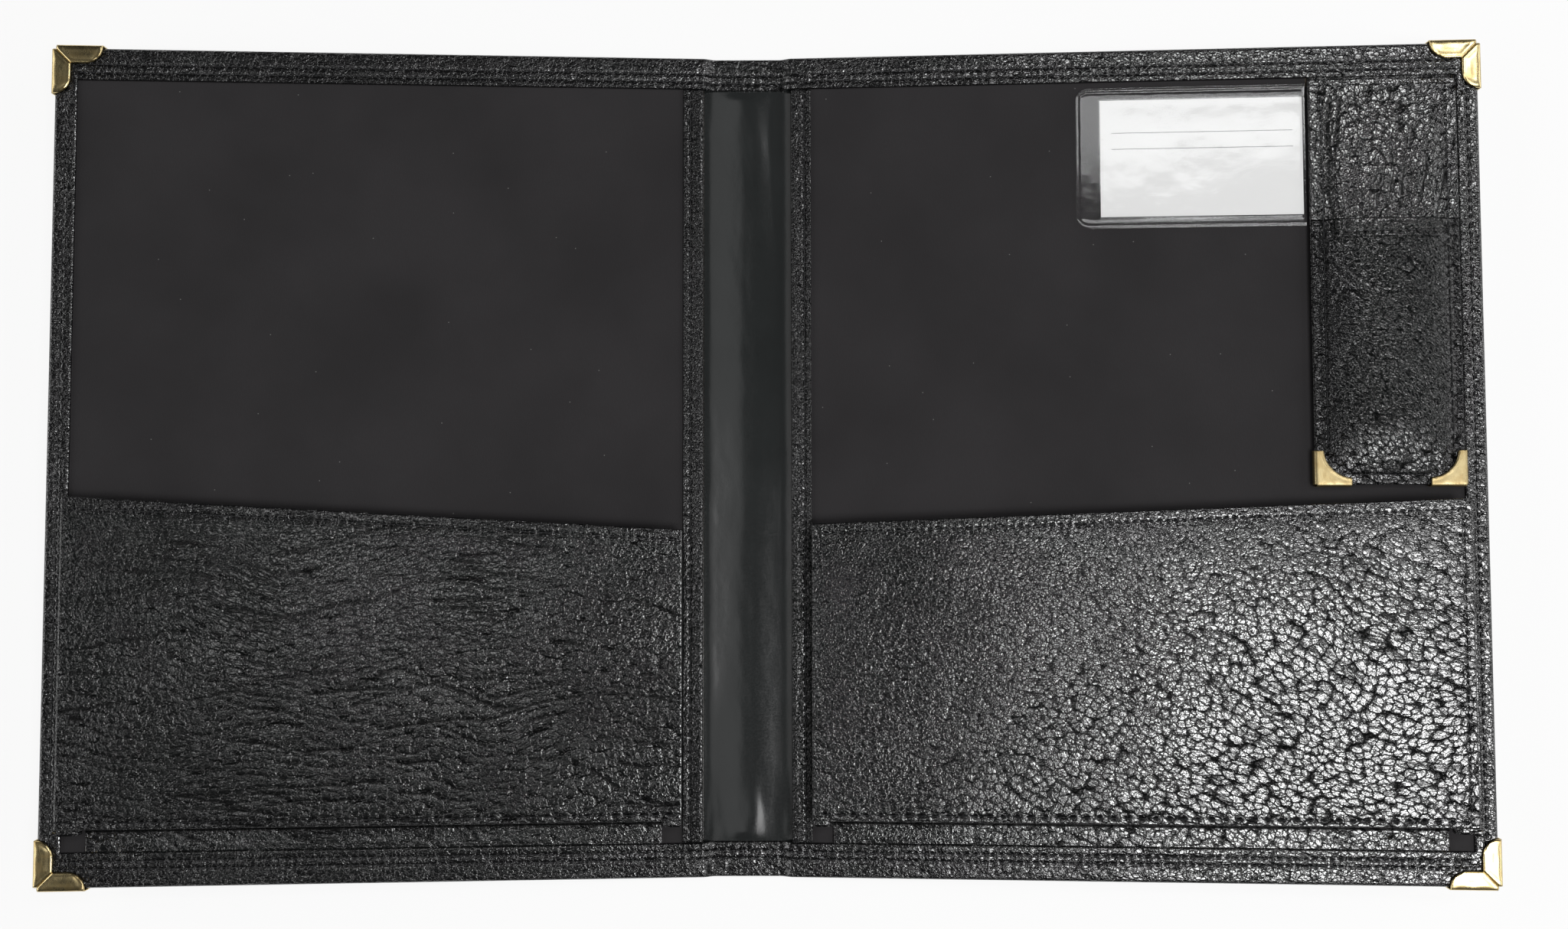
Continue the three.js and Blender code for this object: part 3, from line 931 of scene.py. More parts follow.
class Palette:
    """Every material of the folder, made once."""

    def __init__(self) -> None:
        """Make the materials."""
        self.hide = LeatherFinish().material()
        self.strip = LeatherFinish("black_leather_strip", pebble=2.0, small=1.1, shine=0.6).material()
        self.flap = LeatherFinish("black_leather_flap", pebble=2.4, small=1.4, shine=0.5).material()
        self.lining = LiningFinish().material()
        self.vinyl = VinylFinish().material()
        self.brass = BrassFinish().material()
        self.pale_brass = BrassFinish("brushed_brass", (0.43, 0.35, 0.19), 0.30, 1.0).material()
        self.thread = ThreadFinish().material()
        self.board = BoardFinish().material()
        self.film = FilmFinish().material()


# ---------------------------------------------------------------- covers


@dataclass
class CoverSkin:
    """The leather of one cover from the middle of the spine, turned in on three sides.

    Args:
        cover: which cover.
        grain: relief of the turned-in hems.
        stitching: sewn rows of the hems.
        top_rows: distances of the sewn rows from the top edge.
        bottom_rows: distances of the sewn rows from the bottom edge.
        outer_row: distance of the outer hem's row from the free edge.
        row_end: where the level rows end, from the free edge.
        back_inset: width of the rounding at the back.
    """

    cover: Cover
    grain: Grain
    stitching: Stitching = field(default_factory=Stitching)
    top_rows: Pair = (7.3, 10.8)
    bottom_rows: Pair = (7.9, 11.1)
    outer_row: float = 5.0
    row_end: float = 9.0
    back_inset: float = 0.9

    def crest(self, a: Number) -> Array:
        """Height of the hem's face, lower where it crosses the spine."""
        return mix(SPINE_TOP, HEM_TOP, ease((np.asarray(a) - 14.0) / 5.3))

    def rows(self) -> list[tuple[float, bool]]:
        """The sewn rows, as a distance and whether the row runs along the edge u."""
        level = [HEIGHT - r for r in self.top_rows] + [*self.bottom_rows]
        return [(v, True) for v in level] + [(self.cover.width - self.outer_row, False)]

    def face(self, a: Array, v: Array) -> Relief:
        """The hems' inner face.

        Args:
            a: distance from the middle of the spine.
            v: distance from the bottom edge.

        Returns:
            Height and crease share.
        """
        c, top = self.cover, self.crest(a)
        outer = nearest(v, HEIGHT - v, c.width - a)
        inner = np.maximum(np.maximum(v - (HEIGHT - TOP_HEM), BOTTOM_HEM - v), a - c.window)
        soft = ease(outer / 1.6) * ease(inner / 0.7)
        bump, crease = self.grain.relief(c.side.value * a, v, 0.8)
        pleat = drift(a / 1.7, v / 9.0, 77 + c.side.value) * ease((26.0 - a) / 10.0)
        crossing = bell(a - 17.0, 2.0)
        n = top - dropped(outer, 0.35 * top) - dropped(inner, 0.4)
        n = n + soft * (bump + 0.22 * pleat - 0.35 * crossing * (0.6 + 0.4 * drift(v / 3.0, a, 5)))
        # Painted shade in the pleats' hollows and in the dip where the hem crosses the spine, added to the crease
        # share.
        crease = soft * np.clip(crease + 0.5 * ease(-1.2 * pleat) + 0.4 * crossing, 0.0, 1.0)
        for line, level in self.rows():
            if level:
                inside = ease((c.width - self.row_end - a) / 2.0)
                dip, dark = self.stitching.relief(a, v - line, inside)
            else:
                inside = ease((v - 13.0) / 3.0) * ease((HEIGHT - 13.0 - v) / 3.0)
                dip, dark = self.stitching.relief(v, a - line, inside)
            n, crease = n + dip * soft, np.maximum(crease, dark * soft)
        return n, crease

    def make(self, palette: Palette) -> Piece:
        """Build the skin as one sheet, turned up over the fold."""
        c, shell = self.cover, Shell(self.cover.side)
        a_lines = lines(0.0, c.width, FINE_STEP, [*rims(0.0, c.width, 0), c.window])
        v_lines = lines(0.0, HEIGHT, FINE_STEP, [*rims(0.0, HEIGHT), BOTTOM_HEM, HEIGHT - TOP_HEM])
        a, v = grid(a_lines, v_lines)
        n, crease = self.face(a, v)
        mid_a, mid_v = ((at[1:] + at[:-1]) / 2.0 for at in (a_lines, v_lines))
        keep = (mid_a[:, None] > c.window) | (mid_v < BOTTOM_HEM) | (mid_v > HEIGHT - TOP_HEM)
        shell.patch(c.unrolled(a, v, n), crease, keep)
        self.window_wall(shell, a_lines, v_lines)
        self.edge_wall(shell, a_lines, v_lines)
        self.back(shell, a_lines, v_lines)
        shell.patch(c.unrolled(*grid(lines(12.0, 21.0, FINE_STEP), lines(13.0, 343.0, 6.0)), LEATHER_TOP))
        piece = shell.make(c.named("skin"), palette.hide, grain=self.grain)
        nodes = [c.named("cover_leather")] + (["spine_leather"] if c.side is Side.LEFT else [])
        return settle(piece, c.fold, nodes, rests_on=[c.named("cover_board")])

    @staticmethod
    def round_three(a_lines: Array, v_lines: Array, end: float, low: float, high: float) -> tuple[Array, Array]:
        """Points once along the bottom, the free edge and the top.

        Args:
            a_lines: lines from the spine to the free edge.
            v_lines: lines from the bottom to the top.
            end: place of the free edge.
            low: place of the bottom.
            high: place of the top.

        Returns:
            Both coordinates of the points.
        """
        a = np.concatenate([a_lines, np.full(len(v_lines) - 2, end), a_lines[::-1]])
        return a, np.concatenate([np.full(len(a_lines), low), v_lines[1:-1], np.full(len(a_lines), high)])

    def window_wall(self, shell: Shell, a_lines: Array, v_lines: Array) -> None:
        """The cut edge of the hems, down to the lining and the liner."""
        c, top = self.cover, HEIGHT - TOP_HEM
        a_in, v_in = a_lines[a_lines <= c.window], v_lines[(v_lines >= BOTTOM_HEM) & (v_lines <= top)]
        a, v = self.round_three(a_in, v_in, c.window, BOTTOM_HEM, top)
        n, crease = self.face(a, v)
        low = mix(LINER_TOP + 0.1, LINING_TOP + 0.03, ease((a - 15.0) / 4.3))
        rows = np.stack([c.unrolled(a, v, n), c.unrolled(a, v, low)], axis=1)
        # Painted shade: the wall's foot gets 0.4 more crease share where the cut edge meets the lining and the liner.
        shell.patch(rows, np.stack([crease, crease + 0.4], axis=1))

    def edge_wall(self, shell: Shell, a_lines: Array, v_lines: Array) -> None:
        """The rounded outer edge, from the hems' face to the back."""
        c = self.cover
        a, v = self.round_three(a_lines, v_lines, c.width, 0.0, HEIGHT)
        n, crease = self.face(a, v)
        rows = [c.unrolled(a, v, n)]
        for inset, low in ((0.0, 1.2), (0.0, 0.9), (0.12, 0.45), (0.4, 0.15), (self.back_inset, 0.0)):
            rows.append(c.unrolled(np.minimum(a, c.width - inset), np.clip(v, inset, HEIGHT - inset), low))
        creases = [crease] + [np.zeros_like(crease)] * (len(rows) - 1)
        shell.patch(np.stack(rows, axis=1), np.stack(creases, axis=1), under=True)

    def back(self, shell: Shell, a_lines: Array, v_lines: Array) -> None:
        """The outer face, coarse except over the fold, its border cells meeting the fine edge."""
        c, inset = self.cover, self.back_inset
        fine_a = np.unique(np.minimum(a_lines, c.width - inset))
        fine_v = np.unique(np.clip(v_lines, inset, HEIGHT - inset))
        stride = round(COARSE_STEP / FINE_STEP)
        last_a, last_v = len(fine_a) - 1, len(fine_v) - 1
        pick = [i for i, a in enumerate(fine_a) if 11.0 < a < 22.0 or i % stride == 0]
        at_a, at_v = sorted({*pick, last_a}), sorted({*range(0, len(fine_v), stride), last_v})
        shell.patch(c.unrolled(*grid(fine_a[at_a[:-1]], fine_v[at_v[1:-1]]), 0.0), under=True)
        for i0, i1 in zip(at_a[:-1], at_a[1:]):
            for j0, j1 in zip(at_v[:-1], at_v[1:]):
                sides = (j0 == 0, i1 == last_a, j1 == last_v)
                if not any(sides):
                    continue
                low = [(i, j0) for i in (range(i0, i1) if sides[0] else (i0,))]
                far = [(i1, j) for j in (range(j0, j1) if sides[1] else (j0,))]
                high = [(i, j1) for i in (range(i1, i0, -1) if sides[2] else (i1,))]
                ring = np.array([*low, *far, *high, (i0, j1)])
                shell.outline(c.unrolled(fine_a[ring[:, 0]], fine_v[ring[:, 1]], 0.0), under=True)


@dataclass
class SpineLiner:
    """Half of the vinyl that lines the spine, slightly arched between the covers."""

    cover: Cover
    edge: float = 19.1
    foot: float = 13.4
    top: float = 343.4
    thickness: float = 0.4

    def face(self, a: Array, v: Array) -> Array:
        """Height of the liner's face.

        Args:
            a: distance from the middle of the spine.
            v: distance from the bottom edge.

        Returns:
            Height at each point: an arch that sinks to the right, waves and folds at both ends.
        """
        x = self.cover.side.value * a
        sunk = ease((x - 2.0) / 14.0) * (1.0 + 0.8 * ease((v - 250.0) / 80.0))
        arch = 0.35 * ease((self.edge + x) / 18.0) * (1.0 - sunk)
        wave = 0.03 * drift(x / 9.0, v / 44.0, 51) + 0.01 * drift(x / 4.0 + v / 14.0, v / 20.0, 52)
        ends = bell(v - 14.8, 22.0) + 0.5 * bell(v - 342.0, 16.0)
        folds = 0.11 * ends * np.sin(x / 2.6 + v / 16.0 + 1.5 * drift(x / 9.0, v / 18.0, 53))
        held = ease((v - self.foot) / 6.0) * ease((self.top - v) / 6.0)
        return LINER_TOP + ease((self.edge - a) / 3.0) * np.maximum(held * (arch + wave + folds), 0.0)

    def make(self, palette: Palette) -> Piece:
        """Build the half, turned over the fold, and give it its thickness."""
        c, shell = self.cover, Shell(self.cover.side)
        a, v = grid(lines(0.0, self.edge, 0.9), lines(self.foot, self.top, 1.5))
        shell.patch(c.unrolled(a, v, self.face(a, v)))
        piece = shell.make(c.named("liner"), palette.vinyl, 80.0)
        thicken(piece, self.thickness, rim=False)
        nodes = ["spine_liner"] if c.side is Side.LEFT else []
        return settle(piece, c.fold, nodes, ["left_skin", "right_skin"])


@dataclass
class SpineStrip:
    """The leather strip sewn down beside the spine."""

    cover: Cover
    grain: Grain = field(default_factory=lambda: Grain(80.0, 0.04, 0.10, 6.0, 301))
    stitching: Stitching = field(default_factory=Stitching)
    foot: float = 15.05
    top: float = 341.75
    row: float = 8.6

    def make(self, palette: Palette) -> Piece:
        """Build the strip with its fold towards the spine."""
        c, shell = self.cover, Shell(self.cover.side)
        kept = rims(STRIP_START, STRIP_END, 7, 4)
        u, v = grid(lines(STRIP_START, STRIP_END, 0.45, kept), lines(self.foot, self.top, FINE_STEP))
        spine_side, pocket_side = u - STRIP_START, STRIP_END - u
        n = HEM_TOP + 0.22 * bell(spine_side - 1.6, 1.7) - dropped(spine_side, 0.8) - dropped(pocket_side, 0.3)
        n = n - dropped(nearest(v - self.foot, self.top - v), 0.25) + 0.10 * drift(v / 26.0, u / 20.0, 311)
        bump, crease = self.grain.relief(c.out(u), v)
        soft = ease(nearest(spine_side, pocket_side) / 0.8)
        dip, dark = self.stitching.relief(v, u - self.row)
        n = n + soft * (0.8 * bump + dip)
        slab(shell, c, (u, v), (n, soft * np.maximum(crease, dark)), LINING_TOP + 0.22)
        piece = shell.make(c.named("strip"), palette.strip, grain=self.grain)
        return settle(piece, c.named("cover"), [c.named("spine_strip")])


@dataclass
class PocketPanel:
    """The stiff leather front of one pocket, with a sloping top edge.

    Args:
        cover: which cover.
        grain: relief of the leather.
        top_sewn: stitches along the top.
        foot_sewn: long stitches along the foot.
        top_row: distance of the top row from the edge.
        foot_row: distance of the foot row from the edge.
        side_row: distance of the right panel's side row from the edge.
    """

    cover: Cover
    grain: Grain
    top_sewn: Stitching = field(default_factory=lambda: Stitching(3.42, 0.26, 0.42))
    foot_sewn: Stitching = field(default_factory=lambda: Stitching(5.7, 0.10, 0.80, 0.78))
    top_row: float = 4.5
    foot_row: float = 2.9
    side_row: float = 3.4

    def share(self, u: Array, v: Array) -> Array:
        """Where the broad pebbles rule, from 0 to 1."""
        reach = (u - STRIP_END) / (self.cover.panel_end - STRIP_END)
        rise = (v - PANEL_FOOT) / 125.0
        wander = 0.22 * drift(u / 38.0, v / 38.0, 401)
        if self.cover.side is Side.LEFT:
            return ease(1.05 - 0.6 * rise + 0.1 * (1.0 - reach) + wander)
        return ease(0.62 + 0.75 * reach - 0.70 * rise + wander)

    def face(self, u: Array, v: Array) -> Relief:
        """The panel's face.

        Args:
            u: distance from the fold line.
            v: distance from the bottom edge.

        Returns:
            Height and crease share.
        """
        c = self.cover
        to_top, to_foot = c.panel_top(u) - v, v - PANEL_FOOT
        to_side = nearest(u - STRIP_END, c.panel_end - u)
        edge = nearest(to_top, to_foot, to_side)
        bump, crease = self.grain.relief(c.out(u), v, 0.35 + 0.65 * self.share(u, v))
        n = PANEL_TOP + bump * ease(edge / 1.3)
        n = n + 0.30 * drift(u / 70.0, v / 55.0, 402) * ease(edge / 12.0)
        crease = crease * ease(edge / 0.8)
        n = n - dropped(edge, 0.75) - 0.12 * bell(to_top - 5.4, 0.8)
        for row, sewn in ((to_top - self.top_row, self.top_sewn), (to_foot - self.foot_row, self.foot_sewn)):
            dip, dark = sewn.relief(u, row, ease((to_side - 1.5) / 1.5))
            n, crease = n + dip, np.maximum(crease, dark)
        inside = ease((to_foot - 3.0) / 2.0) * ease((to_top - 5.0) / 2.0) * (c.side is Side.RIGHT)
        dip, dark = self.top_sewn.relief(v, c.panel_end - u - self.side_row, inside)
        return n + 0.6 * dip, np.maximum(crease, 0.7 * dark)

    def make(self, palette: Palette) -> Piece:
        """Build the panel as a closed slab."""
        c, shell = self.cover, Shell(self.cover.side)
        tallest = max(c.panel_inner_top, c.panel_outer_top) - PANEL_FOOT
        u, f = grid(
            lines(STRIP_END, c.panel_end, 0.62, rims(STRIP_END, c.panel_end)),
            lines(0.0, tallest, 0.62, rims(0.0, tallest)) / tallest,
        )
        v = mix(PANEL_FOOT, c.panel_top(u), f)
        slab(shell, c, (u, v), self.face(u, v), PANEL_BACK, self.share(u, v))
        piece = shell.make(c.named("pocket_face"), palette.hide, grain=self.grain)
        rests_on = [c.named("outer_gusset"), c.named("bottom_gusset")]
        nodes = [c.named("pocket_panel")]
        return settle(
            piece, c.named("pocket"), nodes, rests_on=rests_on
        )


# ---------------------------------------------------------------- gussets


@dataclass
class PocketGussets:
    """The three folded leather gussets that join one pocket panel to its cover."""

    cover: Cover
    grain: Grain = field(default_factory=lambda: Grain(-24.0, 0.05, 0.22, 6.0, 501))
    thickness: float = 0.7
    side_foot: float = 23.4
    inner_start: float = 12.1
    inner_fold: float = 20.2
    foot_start: float = 14.88
    shade_line: float = 22.7
    foot_fold: float = 34.6
    foot_lip: float = 26.4
    foot_in: float = 20.45
    foot_out: float = 8.85

    @staticmethod
    def profile(start: float, fold: float, end: float, low: float, high: float = GUSSET_HIGH) -> Array:
        """Section of a gusset: lower leaf, round fold and upper leaf.

        Args:
            start: where the lower leaf starts.
            fold: how far the fold reaches.
            end: where the upper leaf ends.
            low: middle height of the lower leaf.
            high: middle height of the upper leaf.

        Returns:
            Points as (position, height).
        """
        radius, way = (high - low) / 2.0, math.copysign(1.0, fold - start)
        centre, middle = fold - way * radius, (low + high) / 2.0
        lower = [(x, low) for x in lines(min(start, centre), max(start, centre), 0.6)]
        upper = [(x, high) for x in lines(min(end, centre), max(end, centre), 0.9)]
        turns = [math.radians(t) for t in np.linspace(-90.0, 90.0, 13)[1:-1]]
        bend = [(centre + way * radius * math.cos(t), middle + radius * math.sin(t)) for t in turns]
        return np.array(lower + bend + upper[::-1] if way > 0 else lower[::-1] + bend + upper)

    def finish(self, shell: Shell, name: str, at: Pair, palette: Palette, section: Array, tall: float) -> Piece:
        """Make one gusset and give it its thickness.

        Args:
            shell: the gusset's patches.
            name: its name without the side.
            at: u and v of a place whose points are handed to settle, which does not use them.
            palette: the materials.
            section: not used.
            tall: not used.

        Returns:
            The gusset.
        """
        c = self.cover
        piece = shell.make(c.named(name), palette.hide, 70.0, self.grain)
        thicken(piece, self.thickness, 0.0)
        start, end = (tuple(float(x) * MM for x in c.place(*at, n)) for n in (6.3, 10.3))
        bodies = (c.named("cover"), c.named("pocket"), start, end)
        return settle(
            piece, bodies, [c.named(f"pocket_{name}")], rests_on=[c.named("lining")]
        )

    def side_gusset(self, name: str, start: float, fold: float, end: float, low: float, palette: Palette) -> Piece:
        """A gusset along one side of the pocket.

        Args:
            name: its name without the side.
            start: where the lower leaf starts.
            fold: how far the fold reaches.
            end: where the upper leaf ends.
            low: middle height of the lower leaf.
            palette: the materials.

        Returns:
            The gusset.
        """
        shell, section = Shell(self.cover.side), self.profile(start, fold, end, low)
        top = float(self.cover.panel_top(end)) - 0.9
        u, v = grid(section[:, 0], lines(self.side_foot, top, 1.2))
        n = np.broadcast_to(section[:, 1:2], u.shape) + 0.12 * drift(v / 12.0, u / 9.0, 511)
        shell.patch(self.cover.place(u, v, n), under=fold < start)
        return self.finish(shell, name, (start, 90.0), palette, section, top - self.side_foot)

    def foot_gusset(self, palette: Palette) -> Piece:
        """The gusset under the pocket, whose lower leaf shows below the panel and is painted black as the shadow
        under the panel's foot.
        """
        c, shell = self.cover, Shell(self.cover.side)
        section = self.profile(self.foot_start, self.foot_fold, self.foot_lip, GUSSET_LOW)
        u_lines = lines(self.foot_in, c.panel_end - self.foot_out, FINE_STEP)
        u, v = grid(u_lines, section[:, 0])
        bump, crease = self.grain.relief(c.out(u), v, 1.0)
        lower = section[:, 1] < GUSSET_LOW + 0.2
        soft = ease((30.0 - v) / 3.0) * lower * ease((v - self.foot_start) / 0.8)
        n = np.broadcast_to(section[:, 1], u.shape) + soft * bump + 0.2 * lower * ease((20.0 - v) / 3.0)
        # Painted shadow: past shade_line the leaf is painted black and dull, as the shadow under the panel's foot.
        painted_shadow = ease((v - self.shade_line) / 0.6)
        shell.patch(c.place(u, v, n), np.maximum(soft * crease, painted_shadow), broad=0.7)
        at = (90.0, self.foot_start)
        return self.finish(shell, "bottom_gusset", at, palette, section, u_lines[-1] - u_lines[0])

    def make(self, palette: Palette) -> list[Piece]:
        """Build the three gussets."""
        end, start = self.cover.panel_end, self.inner_start
        return [
            self.side_gusset("outer_gusset", end + 4.0, end - 8.6, end - 0.4, 5.55, palette),
            self.side_gusset("inner_gusset", start, self.inner_fold, start, GUSSET_LOW, palette),
            self.foot_gusset(palette),
        ]


# ---------------------------------------------------------------- metal corners


@dataclass
class MetalCorner:
    """A folded metal corner: two tabs in front, two walls and a cut-off back plate.

    Args:
        name: name of the piece.
        node: the CAD node that it stands for.
        body: the body it rides on.
        place: from distances along both edges and a height to points of the cover.
        side: side of the folder, for the mirror.
        swapped: True where swapping the two edges mirrors the corner.
        leg: length along each edge.
        tab: width of the front tabs.
        round_end: length of a tab's rounded end.
        out: how far the walls stand outside the leather.
        tip: length cut off at the corner itself.
        slit: gap between the two tabs.
        top: height of the front.
        low: height of the back.
        hollow: centre of the hollow inner edge, for a corner that has one.
        end: width of a hollow corner at its ends.
        thickness: thickness of the metal.
    """

    name: str
    node: str
    body: str
    place: Place
    side: Side
    swapped: bool
    leg: float = 20.2
    tab: float = 7.0
    round_end: float = 6.2
    out: float = 0.55
    tip: float = 1.2
    slit: float = 0.28
    top: float = 5.5
    low: float = -0.55
    hollow: float | None = None
    end: float = 2.8
    thickness: float = 0.4

    @property
    def sweep(self) -> float:
        """Radius of the hollow inner edge."""
        return math.hypot(self.hollow - self.leg, self.hollow - self.end)

    def far(self, q: float, front: bool) -> float:
        """How far a row reaches along the edge.

        Args:
            q: distance of the row from the edge.
            front: True for a row of the front.

        Returns:
            Distance from the corner to the row's end.
        """
        if self.hollow is not None:
            if q <= self.end:
                return self.leg
            return max(q, self.hollow - math.sqrt(max(self.sweep**2 - (self.hollow - q) ** 2, 0.0)))
        if front:
            t = max(0.0, q - (self.tab - self.round_end)) / self.round_end
            return self.leg - 1.3 * self.round_end * (1.0 - math.sqrt(max(0.0, 1.0 - t * t)))
        return min(self.leg, self.leg + self.tab - q)

    def deepest(self, front: bool) -> float:
        """Distance from the edge where the rows end."""
        if self.hollow is not None:
            return self.hollow - self.sweep / math.sqrt(2.0)
        return self.tab if front else (self.leg + self.tab) / 2.0

    def sections(self) -> list[tuple[float, float, bool]]:
        """Rows of one half from the front's inner rim round the edge to the back, as (q, n, front)."""
        r, out = 0.9, self.out
        front_q = lines(r - out, self.deepest(True), 0.42)[::-1]
        back_q = lines(r - out, self.deepest(False), 1.1)
        turns = np.linspace(0.0, math.pi / 2, 6)
        turn = [(-out + r * (1.0 - math.sin(t)), self.top - r * (1.0 - math.cos(t))) for t in turns]
        under = [(q, self.low + self.top - n) for q, n in turn[::-1]]
        rows = [(q, self.top, True) for q in front_q] + [(q, n, True) for q, n in turn[1:]]
        return rows + [(q, n, False) for q, n in under[:-1]] + [(q, self.low, False) for q in back_q]

    def bulge(self, p: Array, q: float, start: float, stop: float) -> Array:
        """Relief of a front row: rolled rim, pillow, dimple and waves.

        Args:
            p: distances along the row.
            q: distance of the row from the edge.
            start: where the row starts.
            stop: where the row ends.

        Returns:
            Height over the flat front.
        """
        strength = 1.0
        to_rim = nearest(np.full(p.shape, self.deepest(True) - q), stop - p, (p - start) * 0.75 + 0.02)
        if self.hollow is not None:
            strength = 0.25
            to_rim = np.maximum(np.hypot(self.hollow - p, self.hollow - q) - self.sweep, 0.0)
        rim = 0.16 * bell(to_rim - 0.55, 0.40) - 0.22 * bell(to_rim, 0.28)
        pillow = 0.34 * ease(to_rim / 3.4) * ease((q + self.out) / 2.2)
        dimple = -0.24 * bell(np.hypot((p - 0.56 * self.leg) / 2.2, q - 0.30 * self.tab), 2.3)
        wave = 0.05 * drift(p / 5.0, np.full(p.shape, q / 5.0), 601 + len(self.name))
        return rim, strength * (pillow + dimple), wave

    def half(self) -> tuple[Array, Array, Array]:
        """One half: distances along the edge, distances from it and heights."""
        share = np.linspace(0.0, 1.0, 34)
        rows = []
        for q, n, front in self.sections():
            gap = self.slit if front and q > self.tip * 0.4 else 0.0
            start = max(self.tip, q + gap) if q > -self.out + 0.01 else self.tip
            stop = max(start + 0.02, self.far(max(q, 0.0), front))
            p = mix(start, stop, share)
            height = np.full(p.shape, n)
            if front and n > self.top - 0.3:
                for part in self.bulge(p, q, start, stop):
                    height = height + part
            rows.append((p, np.full(p.shape, q), height))
        return tuple(np.array(values) for values in zip(*rows))

    def make(self, material: Material) -> Piece:
        """Build both halves and join them along the back's diagonal."""
        shell = Shell(self.side)
        p, q, n = self.half()
        shell.patch(self.place(p, q, n), under=not self.swapped)
        shell.patch(self.place(q, p, n), under=self.swapped)
        piece = shell.make(self.name, material, 40.0)
        thicken(piece, self.thickness)
        return settle(piece, self.body, [self.node])


def cover_corners(cover: Cover, palette: Palette) -> list[Piece]:
    """The two brass corners of one cover, with distances along and from its top or bottom edge."""
    body, side = cover.named("cover"), cover.side
    kinds = (
        ("top_metal", "top_corner", lambda p, q, n: cover.place(cover.reach - p, HEIGHT - q, n), False),
        ("foot_metal", "bottom_corner", lambda p, q, n: cover.place(cover.reach - p, q, n), True),
    )
    return [
        MetalCorner(cover.named(name), cover.named(node), body, place, side, swapped).make(palette.brass)
        for name, node, place, swapped in kinds
    ]


# ---------------------------------------------------------------- pencil flap


@dataclass
class PencilFlap:
    """The hanging flap with its pouch, on the right cover."""

    cover: Cover = RIGHT
    grain: Grain = field(default_factory=lambda: Grain(-28.0, 0.05, 0.10, 5.5, 701))
    upper: Grain = field(default_factory=lambda: Grain(84.0, 0.12, 0.40, 4.5, 723))
    band_grain: Grain = field(default_factory=lambda: Grain(10.0, 0.06, 0.05, 8.0, 751))
    stitching: Stitching = field(default_factory=Stitching)
    start: float = 224.2
    stop: float = 285.5
    foot: float = 167.2
    mouth: float = 279.7
    face_foot: float = 279.95
    face_top: float = 338.2
    top: float = 340.2
    side_row: float = 4.9
    foot_row: float = 4.3
    rim: float = 3.0
    back_n: float = 5.5
    face_n: float = 6.55
    crown: float = 10.2
    leather: float = 0.75
    band_leather: float = 0.55
    hinge_leather: float = 0.36

    def area(self, low: float, high: float, step: float, ends: tuple[int, int]) -> tuple[Array, Array, Array]:
        """Grid over the flap's whole width.

        Args:
            low: bottom of the grid.
            high: top of the grid.
            step: greatest distance between two lines.
            ends: how many edge lines are kept at the bottom and the top.

        Returns:
            Both coordinates and the distance to the nearer side.
        """
        u, v = grid(
            lines(self.start, self.stop, step, rims(self.start, self.stop)),
            lines(low, high, step, rims(low, high, *ends)),
        )
        return u, v, nearest(u - self.start, self.stop - u)

    def hide(self, u: Array, v: Array) -> Relief:
        """Relief of the flap's leather, with upright folds near its top."""
        low, thin = self.grain.relief(self.cover.out(u), v)
        high, deep = self.upper.relief(self.cover.out(u), v)
        share = ease((v - 262.0) / 34.0)
        return mix(low, high, share), mix(thin, deep, share)

    def sewn(self, u: Array, v: Array, n: Array, crease: Array) -> Relief:
        """Add the sewn rows along both sides and the foot.

        Args:
            u: distance from the fold line.
            v: distance from the bottom edge.
            n: height so far.
            crease: crease share so far.

        Returns:
            The new height and crease share.
        """
        side = self.side_row
        rows = ((v, u - self.start - side), (v, self.stop - side - u), (u, v - self.foot - self.foot_row))
        for along, across in rows:
            inside = ease((u - self.start - 4.2) / 0.8) * ease((self.stop - 4.2 - u) / 0.8)
            inside = np.maximum(inside, bell(across, 1.5)) * ease((v - self.foot - 3.5) / 0.8)
            dip, dark = self.stitching.relief(along, across, inside)
            n, crease = n + dip, np.maximum(crease, dark)
        return n, crease

    def lay(
        self,
        names: tuple[str, str],
        points: tuple[Array, Array, Array],
        crease: Array,
        finish: tuple[Material, Grain | None],
        broad: float = 0.8,
        thickness: float | None = None,
    ) -> Piece:
        """Make one sheet on the flap's front.

        Args:
            names: name of the piece and of its CAD node.
            points: u, v and height on the grid.
            crease: crease share on the grid.
            finish: material and the grain that it follows.
            broad: share of the broad pebbles.
            thickness: thickness of the leather, the flap's own if None.

        Returns:
            The piece.
        """
        shell = Shell(Side.RIGHT)
        shell.patch(self.cover.place(*points), crease, broad=broad)
        piece = shell.make(names[0], finish[0], grain=finish[1])
        thicken(piece, self.leather if thickness is None else thickness)
        return settle(piece, "pencil_flap", [names[1]], rests_on=["flap_stiffener"])

    def back(self, palette: Palette) -> Piece:
        """The leather on the back of the flap, its edge turned up round the sides and foot."""
        shell = Shell(Side.RIGHT)
        u, v, side = self.area(self.foot, self.top, 1.2, (7, 4))
        n = self.back_n - dropped(nearest(side, v - self.foot), 0.35)
        slab(shell, self.cover, (u, v), (n, np.zeros(n.shape)), 4.7)
        piece = shell.make("flap_back", palette.hide, grain=self.grain)
        return settle(piece, "pencil_flap", ["flap_back_leather"], rests_on=["flap_stiffener"])

    def upper_face(self, palette: Palette) -> Piece:
        """The leather facing above the pouch, puffed and folded upright below the hem."""
        u, v, side = self.area(self.face_foot, self.face_top, FLAP_STEP, (0, 4))
        edge = nearest(side, self.face_top - v)
        bump, crease = self.hide(u, v)
        puff = 1.2 * ease((side - 5.5) / 7.0) * ease((self.face_top - v - 0.5) / 24.0)
        tuck = 0.35 * puff * drift(u / 4.2, v / 26.0, 731)
        n = self.face_n + puff + tuck + 1.15 * bump * ease(edge / 1.2)
        n, crease = self.sewn(u, v, n, crease * ease(edge / 0.8))
        n = np.maximum(n, self.face_n - 0.5) - dropped(edge, 0.5)
        return self.lay(("flap_face", "flap_facing"), (u, v, n), crease, (palette.hide, self.upper))

